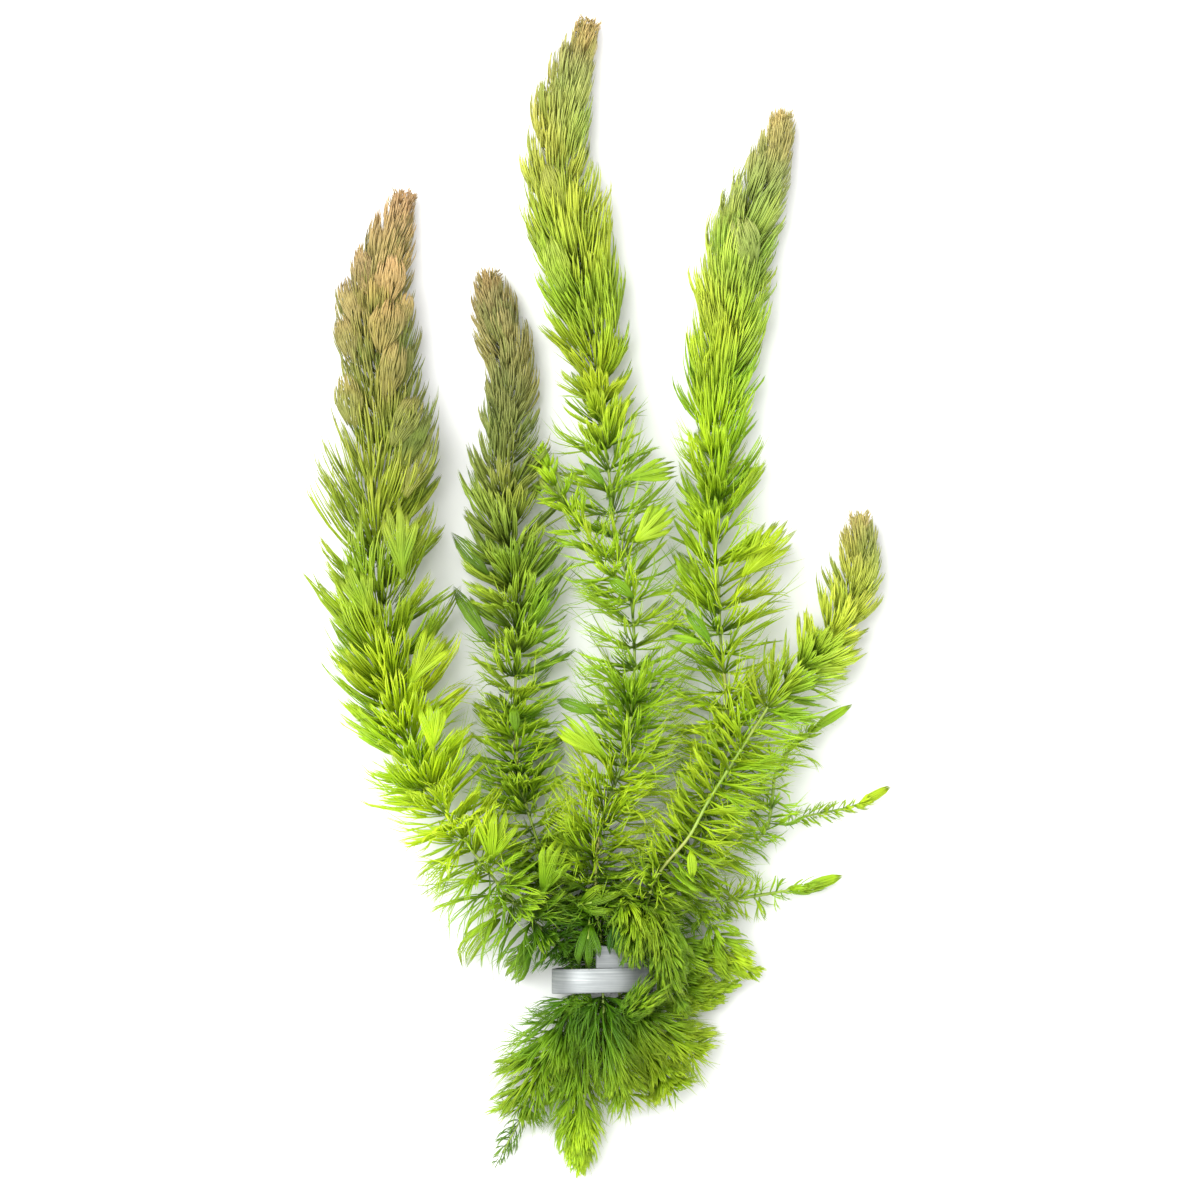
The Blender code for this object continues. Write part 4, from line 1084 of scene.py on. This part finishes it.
leaf_materials = {
    "shoot_left": leaf_material("leaf_left", [
        (0.0, FRESH), (0.2, FRESH), (0.34, BRIGHT), (0.42, BRIGHT), (0.5, (172, 206, 36)),
        (0.62, (160, 188, 48)), (0.76, (156, 164, 78)), (0.88, (174, 164, 104)),
        (1.0, (212, 178, 144))], [
        (0.0, YELLOW_GREEN), (0.5, YELLOW_GREEN), (0.7, (200, 192, 110)), (0.85, (206, 176, 128)),
        (1.0, (220, 180, 152))], foot_shade_strength=0.3),
    "shoot_inner_left": leaf_material("leaf_inner_left", [
        (0.0, BRIGHT), (0.2, LEAF_GREEN), (0.45, FRESH), (0.62, (160, 196, 62)),
        (0.74, (158, 170, 82)), (0.88, (174, 164, 104)), (1.0, (200, 172, 126))], [
        (0.0, YELLOW_GREEN), (0.6, LIME), (0.75, (172, 170, 96)), (1.0, (206, 172, 124))]),
    "shoot_centre": leaf_material("leaf_centre", [
        (0.0, LIME), (0.14, LEAF_GREEN), (0.24, LIME), (0.66, (184, 214, 52)),
        (0.8, (190, 212, 82)), (0.9, (198, 202, 106)), (1.0, (210, 186, 134))], [
        (0.0, YELLOW_GREEN), (0.3, LIME), (0.7, YELLOW_GREEN), (0.9, (214, 206, 130)),
        (1.0, (222, 180, 144))]),
    "shoot_inner_right": leaf_material("leaf_inner_right", [
        (0.0, LIME), (0.16, LEAF_GREEN), (0.35, LIME), (0.66, LIME), (0.8, (200, 226, 88)),
        (0.92, (204, 202, 122)), (1.0, (220, 196, 142))], [
        (0.0, YELLOW_GREEN), (0.4, LIME), (0.7, YELLOW_GREEN), (0.9, (212, 200, 130)),
        (1.0, (224, 192, 142))]),
    "shoot_right": leaf_material("leaf_right", [
        (0.0, LIME), (0.2, FRESH), (0.6, LIME), (0.82, (202, 226, 86)), (0.93, (196, 194, 110)),
        (1.0, (212, 188, 130))], [
        (0.0, YELLOW_GREEN), (0.7, YELLOW_GREEN), (0.9, (210, 194, 120)), (1.0, (206, 168, 118))]),
    "side": leaf_material("leaf_side", [(0.0, FRESH), (0.6, LIME), (1.0, YELLOW_GREEN)], [
        (0.0, LIME), (1.0, YELLOW_GREEN)]),
    "dark": leaf_material("leaf_dark", [(0.0, (112, 148, 52)), (1.0, (124, 160, 56))], [
        (0.0, LEAF_GREEN), (1.0, FRESH)]),
}
print("leaf materials:", len(leaf_materials))

# %% [markdown]
# ## Leaves into pieces
#
# Three helpers fill a piece with strands: the whorls of a stem, a tuft, and the stalk that holds a loose
# tuft. Leaves between the stem and the table were pressed together, so many of them are left out, and some
# stretches of stem show bare in front.

# %% Whorls, tufts and stalks
THREAD_HALF_WIDTH = 0.23
KIND_THICKNESS = (1.0, 0.98, 0.86, 0.8)
# a leaf is in front or pressed below where the sine of its turn is over the one and under the other
FRONT_SINE = 0.7
PRESSED_SINE = -0.3
PRESSED_LEAVES_LOST = 0.65
TUFT_THREAD = 0.85
TUFT_TONE_SPREAD = 0.12
STALK_HALF_WIDTH = 0.4
STALK_SLANT = 0.4
STALK_PAST_FOOT = 1.15
STALK_TONE = 0.4
NOT_BARE = (0.0, 0.0)


def thread_width(reach):
    """Half width of a thread: w * (0.55 + reach / 22), but never less than 0.65 w or more than 1.05 w."""
    return THREAD_HALF_WIDTH * np.clip(0.55 + reach / 22, 0.65, 1.05)


def add_whorls(strands, stem, random, until, open_leaves, keep_off_strip, bare_front=NOT_BARE, along=None):
    """The whorls of a stem, up to a share of its length. Between the bare heights no leaf hides its front."""
    all_leaves = Leaves(stem, random, open_leaves, keep_off_strip)
    all_leaves = all_leaves.only(all_leaves.root < until * stem.length)
    low, high = bare_front
    height = stem.frame(all_leaves.root)[0][:, 1]
    beside = np.sin(all_leaves.turn) < FRONT_SINE
    all_leaves = all_leaves.only((height < low) | (height > high) | beside)
    pressed = np.sin(all_leaves.turn) < PRESSED_SINE
    kept = random.uniform(0, 1, len(pressed)) > PRESSED_LEAVES_LOST
    all_leaves = all_leaves.only(~pressed | kept)
    if keep_off_strip:
        clear_of_strip(stem, all_leaves)
    for kind, offsets in LEAF_OFFSETS.items():
        leaves = all_leaves.only(all_leaves.kind == kind)
        lines, share, sideways = strand_lines(stem, leaves, random, offsets)
        width = thread_width(leaves.reach) * KIND_THICKNESS[kind]
        place = leaves.root / stem.length if along is None else np.full(len(leaves.root), along)
        strands.add(lines, share, sideways, width, random, place, leaves.tone)


def add_tuft(strands, stem, begin, fingers, tone, along, random):
    """One tuft of the stem, from the begin share of its length on. With one finger it is a closed bud."""
    if fingers == 1:
        lines, share, sideways = bud_lines(stem, begin, random)
    else:
        lines, share, sideways = tuft_lines(stem, begin, fingers, random)
    width = np.full(fingers, TUFT_THREAD * thread_width(stem.reach.max()))
    tones = tone + random.uniform(-TUFT_TONE_SPREAD, TUFT_TONE_SPREAD, fingers)
    strands.add(lines, share, sideways, width, random, np.full(fingers, along), tones)


def add_stalk(strands, stem, foot, along, random):
    """The stalk of a loose tuft: one strand from its shoot's stem, at a slant, to a little past its foot."""
    gaps = np.linalg.norm(stem.points - foot, axis=1)
    nearest = gaps.argmin()
    start = max(stem.distance[nearest] - STALK_SLANT * gaps[nearest], 0.0)
    root, side, _ = stem.frame(np.array([start]))
    share = np.linspace(0, 1, 4)[None, None]
    lines = root + STALK_PAST_FOOT * share[..., None] * (foot - root)
    width, along, tone = (np.array([value]) for value in (STALK_HALF_WIDTH, along, STALK_TONE))
    strands.add(lines, share, side[None, None], width, random, along, tone)


def finish_piece(strands, name, material, replaced):
    """Makes the mesh object, which rides on the one body and takes the place of its plain solid."""
    piece = strands.piece(name, material)
    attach(piece, "root")
    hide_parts(replaced)


print("half width of a thread with a reach of 10 mm:", round(float(thread_width(10.0)), 3))

# %% [markdown]
# ## What the photograph shows one by one
#
# Most leaves only have to be right in number and size, but some tufts, blades and branches stand out. Their
# places are read off the photograph and listed one by one. Each belongs to the shoot that it grows from.

# %% Loose tufts, branches and scales in front
# first point, last point, half width in the middle and at the end, fingers, tone: 0 dark, 1 bright
LOOSE_TUFTS = {
    "shoot_centre": [
        ((8, 109.5, 24.5), (19.2, 119.8, 22.5), 3.8, 3, 6, 0.7),
        ((5.5, 125.3, 20.5), (21.6, 129.6, 16), 2.8, 1.8, 5, 0.5),
        ((1.2, 124, 24), (-4.2, 129.8, 23.5), 1.9, 0.3, 1, 0),
        ((8.6, 96, 24.5), (1.8, 101.4, 24.5), 2.2, 0.3, 1, 0),
        ((-1.2, 67.4, 24), (-11.2, 70.8, 21), 2.2, 0.5, 1, 0.03),
        ((2.2, 55.6, 25), (-12, 67.4, 23), 3.6, 2.4, 6, 0.3),
        ((3.2, 16, 20), (4.8, 4.4, 20.8), 2.2, 1.8, 3, 0.1),
    ],
    "shoot_inner_left": [
        ((-7.6, 117.4, 16), (-15.6, 130.6, 16), 2.6, 1, 3, 0.25),
        ((-27.4, 101.4, 14), (-37.4, 112.6, 11), 2.5, 0.3, 1, 0.08),
        ((-27.2, 84.6, 15), (-37.2, 99.4, 11), 2.5, 0.3, 1, 0.04),
        ((-20.8, 62.4, 22), (-21.5, 69.4, 22), 1.9, 0.4, 1, 0),
    ],
    "shoot_left": [
        ((-57, 91, 26), (-62.8, 105.6, 25), 3.6, 4.6, 5, 0.6),
        ((-48.8, 100.6, 29), (-50, 121.6, 28), 4, 5.4, 5, 0.55),
        ((-46.8, 75, 29), (-37.4, 90.6, 26), 3.6, 4.6, 5, 0.55),
        ((-41.4, 58, 28), (-41, 72.6, 28.5), 3, 3.8, 4, 0.6),
    ],
    "shoot_inner_right": [
        ((28, 84.4, 22.5), (21, 93.8, 21.5), 1.9, 0.3, 1, 0),
        ((25.6, 85, 23.5), (16.6, 86.6, 22), 1.4, 0.3, 1, 0.1),
        ((35.4, 101, 19), (48.2, 116.2, 14), 4, 4.8, 6, 0.7),
    ],
    "shoot_right": [
        ((15.8, 18, 21), (21.6, 3.4, 18.6), 2.3, 1.4, 3, 0.7),
    ],
}
# smaller branches among the main shoots, in rows like theirs
BRANCHES = {
    "shoot_centre": [[
        (8.6, 93, 16.5, 4, 0, 66, 0), (3, 102, 17.5, 9, 0, 62, 0), (-4, 112, 17.8, 9.5, 0, 56, 0),
        (-10, 122, 16.5, 8, 0, 50, 0.1), (-15.5, 133.5, 14.5, 3, 0, 30, 0.4),
    ], [
        (6, 22, 20.6, 4, 0, 34, 0), (8.4, 15, 22.4, 6.4, 0, 32, 0), (8.6, 9, 22.6, 6.2, 0, 30, 0),
        (8.4, 4.8, 21.6, 3.8, 0, 26, 0),
    ]],
    "shoot_inner_left": [[
        (-0.5, -4.8, 13.5, 2.6, 0, 60, 0), (-5.5, -5.8, 13.5, 3.4, 0, 56, 0),
        (-10.5, -8, 10.5, 2.6, 0, 50, 0),
    ], [
        (-4.2, -31, 8, 4, 0, 36, 0.2), (-5.4, -38, 7, 7, 0, 32, 0.4), (-5.2, -44, 6, 5.4, 0, 28, 0.6),
        (-5, -49, 5, 2, 0, 22, 0.9),
    ]],
    "shoot_inner_right": [[
        (15.6, 12, 9, 4, 0, 36, 0), (21, 7.4, 9.4, 6.4, 0, 34, 0.2), (28, 4.4, 8.2, 6, 0, 32, 0.4),
        (34, 2.8, 7, 4, 0, 30, 0.7), (39.6, 1.6, 6, 1.4, 0, 24, 1),
    ], [
        (14.8, -3.6, 8, 3, 0, 36, 0), (18.6, -5.2, 7, 4.6, 0, 34, 0), (24, -5.4, 6, 4.6, 0, 32, 0.2),
        (31, -4, 5, 1.8, 0, 28, 0.7),
    ]],
    "shoot_right": [[
        (12, 20, 20, 4, 0, 34, 0), (14.6, 13.6, 22, 5.4, 0, 32, 0), (16.4, 6.6, 21.6, 5, 0, 28, 0),
        (18, -1, 18.6, 4.4, 0, 26, 0), (21.6, -8, 12, 2, 0, 20, 0),
    ], [
        (5.6, -8.6, 16.4, 3, 0, 36, 0), (10, -4.6, 20.4, 4, 0, 32, 0), (15, 0.4, 21, 4.4, 0, 30, 0),
        (21, 4, 17.6, 2.4, 0, 26, 0),
    ]],
}
# heights between which a stem shows bare, because no leaf lies in front of it
BARE_FRONTS = {"shoot_right": (28.0, 68.0)}
# x and y of the foot and of the tip, half width, tone
FRONT_SCALES = {
    "shoot_left": [
        (-53, 169, -51.8, 182.4, 3.9, 0.6), (-54.6, 156.5, -52, 171.2, 4.4, 0.68),
        (-50.6, 162, -47.8, 173, 2.4, 0.6), (-58, 171.5, -60.8, 184.8, 2.7, 0.6),
        (-60.8, 164.5, -63.9, 176.8, 3, 0.65), (-61.6, 154.5, -64.6, 167.6, 3, 0.6),
        (-61.4, 138, -63.6, 152.4, 3.5, 0.7), (-53.4, 144.5, -50.2, 161, 3.3, 0.55),
        (-49.6, 148, -47.4, 160, 1.8, 0.15), (-51.6, 133.5, -45, 147.2, 3.4, 0.5),
        (-49.2, 128.5, -42.9, 144.2, 2.8, 0.2), (-48.6, 121, -41.6, 141.5, 4.2, 0.6),
    ],
    "shoot_centre": [
        (-9.6, 192, -13.6, 205, 2.8, 0.3), (-8.6, 172, -12.8, 186.5, 3.2, 0.4),
    ],
    "shoot_inner_right": [
        (38.4, 178.5, 34.4, 192, 3.6, 0.35),
    ],
}
print("loose tufts:", sum(map(len, LOOSE_TUFTS.values())), "branches:", sum(map(len, BRANCHES.values())))

# %% [markdown]
# ## The main shoots
#
# Each main shoot gets two pieces: the leaves of its whorls, and its sprigs, which are the loose tufts,
# branches and front scales. A seed of its own for each shoot gives the same leaves on every run.

# %% Leaves of the main shoots
MAIN_SEED = 100
BRANCH_LEAVES = 9
# the place along the shoot whose colour a branch takes, above the strip and below it
ALONG_ABOVE = 0.3
ALONG_BELOW = 0.0
LOOSE_ARCH = 0.8
LOOSE_FOOT_REACH = 0.8
SCALE_FOOT_SUNK = 0.8
SCALE_TIP_RAISED = 1.04
SCALE_END_SHARE = 0.45
SCALE_THREAD = 0.8


def loose_stem(first, last, middle_reach, end_reach):
    """A short stem that arches a little between two points."""
    first, last = np.array(first), np.array(last)
    middle = (first + last) / 2 + (0, 0, LOOSE_ARCH)
    before, after = 0.65 * middle + 0.35 * first, 0.4 * middle + 0.6 * last
    rows = [(*first, LOOSE_FOOT_REACH), (*before, 0.8 * middle_reach), (*middle, middle_reach),
            (*after, 0.7 * middle_reach + 0.3 * end_reach), (*last, end_reach)]
    return Stem(rows)


def add_loose_tuft(sprigs, stem, random, first, last, middle_reach, end_reach, fingers, tone):
    """A tuft with its stalk, in the colour of the nearest place on its shoot."""
    nearest = np.argmin(np.linalg.norm(stem.points - first, axis=1))
    along = stem.distance[nearest] / stem.length
    add_stalk(sprigs, stem, np.array(first), along, random)
    add_tuft(sprigs, loose_stem(first, last, middle_reach, end_reach), 0.0, fingers, tone, along, random)


def add_front_scale(sprigs, stem, random, x, y, tip_x, tip_y, half_width, tone):
    """A domed scale on the front of a plume, its foot sunk and its tip raised."""
    foot, tip = front_of(stem, x, y, SCALE_FOOT_SUNK), front_of(stem, tip_x, tip_y, SCALE_TIP_RAISED)
    scale = loose_stem(foot, tip, half_width, SCALE_END_SHARE * half_width)
    lines, share, sideways = dome_lines(scale, random)
    along = stem.distance[np.argmin(np.abs(stem.points[:, 1] - tip_y))] / stem.length
    width = SCALE_THREAD * thread_width(np.array([half_width * 3]))
    sprigs.add(lines, share, sideways, width, random, np.array([along]), np.array([tone]))


for number, name in enumerate(MAIN_SHOOTS):
    stem, random = stems[name], np.random.default_rng(MAIN_SEED + number)
    strands, sprigs = Strands(), Strands()
    add_whorls(strands, stem, random, 1.0, OPEN_LEAVES, True, BARE_FRONTS.get(name, NOT_BARE))
    for rows in BRANCHES.get(name, []):
        along = ALONG_ABOVE if rows[0][1] > 0 else ALONG_BELOW
        add_whorls(sprigs, Stem(rows), random, 1.0, BRANCH_LEAVES, True, along=along)
    for tuft in LOOSE_TUFTS[name]:
        add_loose_tuft(sprigs, stem, random, *tuft)
    for scale in FRONT_SCALES.get(name, []):
        add_front_scale(sprigs, stem, random, *scale)
    finish_piece(strands, name + "_leaves", leaf_materials[name], name)
    finish_piece(sprigs, name + "_sprigs", leaf_materials[name], name)

# %% [markdown]
# ## The side shoots
#
# The side shoots are short: most are a single tuft or bud, and a few are thin twigs with small whorls, some
# of them with a pointed bud at the end. The one at the cut end is old and dark.

# %% Leaves of the side shoots
SIDE_SEED = 200
SIDE_ALONG = 0.5
TWIG_LEAVES = 4
BUSHY_TWIG_LEAVES = 6

for number, (name, (begin, fingers, tone, _)) in enumerate(SIDE_SHOOTS.items()):
    stem, random, strands = stems[name], np.random.default_rng(SIDE_SEED + number), Strands()
    if begin > 0.5:
        open_leaves = BUSHY_TWIG_LEAVES if stem.closeness.mean() > 0.5 else TWIG_LEAVES
        add_whorls(strands, stem, random, begin, open_leaves, False, along=SIDE_ALONG)
    if fingers:
        add_tuft(strands, stem, begin, fingers, tone, SIDE_ALONG, random)
    dark = name == "side_shoot_cut_end"
    finish_piece(strands, name + "_leaves", leaf_materials["dark" if dark else "side"], name)

# %% [markdown]
# ## Stems
#
# A stem is a round green thread with a small swelling at each whorl. It is a tube: a circle carried along
# the route, closed at both ends by a point.


# %% Stem tubes
def grid_piece(name, rings, material):
    """A closed surface from rings of points, with both ends drawn together in a point."""
    count, around, _ = rings.shape
    points = np.concatenate([rings.reshape(-1, 3), rings[:1].mean(axis=1), rings[-1:].mean(axis=1)])
    i, j = np.meshgrid(np.arange(count - 1), np.arange(around), indexing="ij")
    after = (j + 1) % around
    low, high = i * around, (i + 1) * around
    quads = np.stack([low + j, low + after, high + after, high + j], axis=-1)
    j = np.arange(around)
    after = (j + 1) % around
    first = np.stack([after, j, np.full(around, count * around)], axis=-1)
    last = (count - 1) * around
    end = np.stack([last + j, last + after, np.full(around, count * around + 1)], axis=-1)
    mesh = bpy.data.meshes.new(name)
    faces = quads.reshape(-1, 4).tolist() + first.tolist() + end.tolist()
    mesh.from_pydata((points * MM).tolist(), [], faces)
    mesh.shade_smooth()
    mesh.materials.append(material)
    return add_object(name, mesh)


STEM_SHORT_OF_TIP = 3.0
STEM_FINENESS = 0.75
STEM_STEP = 0.9
STEM_SIDES = 8
STEM_INTO_TUFT = 0.4
WHORL_SWELLING = 0.35
SWELLING_HALF_LENGTH = 0.7


def stem_tube(name, material):
    """Radius = stem radius * (1 + swelling * exp(-(distance from a whorl / half length)^2)), round the route.

    It ends inside the last tuft: part of the way from where the tuft begins to the tip."""
    stem = stems[name]
    begin = SIDE_SHOOTS[name][0] if name in SIDE_SHOOTS else 1.0
    end = stem.length * ((1 - STEM_INTO_TUFT) * begin + STEM_INTO_TUFT)
    s = np.arange(0.0, min(end, stem.length - STEM_SHORT_OF_TIP), STEM_STEP)
    from_whorl = (s[:, None] - whorl_marks(stem)[None, :]) / SWELLING_HALF_LENGTH
    bump = np.exp(-(from_whorl**2)).max(axis=1)
    radius = STEM_FINENESS * stem.radius(s) * (1 + WHORL_SWELLING * bump)
    centre, side, top = stem.frame(s)
    turn = np.linspace(0, 2 * np.pi, STEM_SIDES, endpoint=False)[None, :, None]
    circle = np.cos(turn) * side[:, None] + np.sin(turn) * top[:, None]
    rings = centre[:, None] + radius[:, None, None] * circle
    piece = grid_piece(name + "_stem", rings[:, ::-1], material)
    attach(piece, "root")


def stem_material():
    """Pale tan-green with darker and browner stretches."""
    material, tree, shader = new_material("stem_green")
    stops = [(0.3, (118, 152, 46)), (0.55, (156, 180, 70)), (0.75, (168, 164, 88))]
    colour = ramp(tree, noise(tree, 45.0, 3.0), stops)
    tree.links.new(colour, shader.inputs["Base Color"])
    shader.inputs["Roughness"].default_value = 0.4
    return material


stem_green = stem_material()
for name in stems:
    stem_tube(name, stem_green)
print("stems:", len(stems))

# %% [markdown]
# ## The lead strip
#
# The strip is soft metal, cut from a roll and bent by hand, so its faces are a little wavy and its edges
# rounded. The section is a rectangle with round corners, carried along the route worked out above.

# %% The strip
STRIP_STATIONS = 260
STRIP_EDGE = 0.28
SECTION_POINTS = 24
DRAWN_LINES = (60.0, 2400.0, 60.0)


def strip_section():
    """Places across the width and through the thickness, from -1 to 1, of a rectangle with round corners.

    Point = corner * (half size - edge radius) + edge radius * (cos(turn), sin(turn)), over the half size."""
    turn = np.linspace(0, 2 * np.pi, SECTION_POINTS, endpoint=False)
    corner = np.array([[1, 1], [-1, 1], [-1, -1], [1, -1]])[(turn // (np.pi / 2)).astype(int)]
    half = np.array([STRIP_WIDTH, STRIP_THICKNESS]) / 2
    arc = np.stack([np.cos(turn), np.sin(turn)], axis=-1)
    return (corner * (half - STRIP_EDGE) + STRIP_EDGE * arc) / half


def lead_strip():
    """Point = middle + thickness place * outward, with its place along Y between the two edges."""
    middle, outward, low, high = strip_route(STRIP_STATIONS)
    section = strip_section()
    rings = np.repeat(middle[:, None], len(section), axis=1)
    rings += (section[:, 1] * STRIP_THICKNESS / 2)[None, :, None] * outward[:, None]
    part = 0.5 + 0.5 * section[:, 0]
    rings[..., 1] = low[:, None] * (1 - part) + high[:, None] * part
    return rings


def lead_material():
    """Dull silver: fine drawn lines along the strip and soft dark patches."""
    material, tree, shader = new_material("lead")
    drawn = noise(tree, 1.0, 4.0, DRAWN_LINES)
    greys = [(0.3, (136, 141, 141)), (0.5, (147, 151, 151)), (0.7, (160, 164, 162))]
    colour = ramp(tree, drawn, greys)
    patches = grey_ramp(tree, noise(tree, 120.0, 3.0), [(0.3, 0.78), (0.7, 1.0)])
    colour = mixed(tree, 1.0, colour, patches, "MULTIPLY")
    tree.links.new(colour, shader.inputs["Base Color"])
    shader.inputs["Metallic"].default_value = 0.6
    roughness = grey_ramp(tree, drawn, [(0.3, 0.56), (0.7, 0.42)])
    tree.links.new(roughness, shader.inputs["Roughness"])
    bump = tree.nodes.new("ShaderNodeBump")
    bump.inputs["Strength"].default_value = 0.15
    bump.inputs["Distance"].default_value = 0.0002
    tree.links.new(drawn, bump.inputs["Height"])
    tree.links.new(bump.outputs["Normal"], shader.inputs["Normal"])
    return material


strip = grid_piece("lead_strip", lead_strip(), lead_material())
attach(strip, "root")
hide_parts("weight_strip")
print("strip faces:", len(strip.data.polygons))
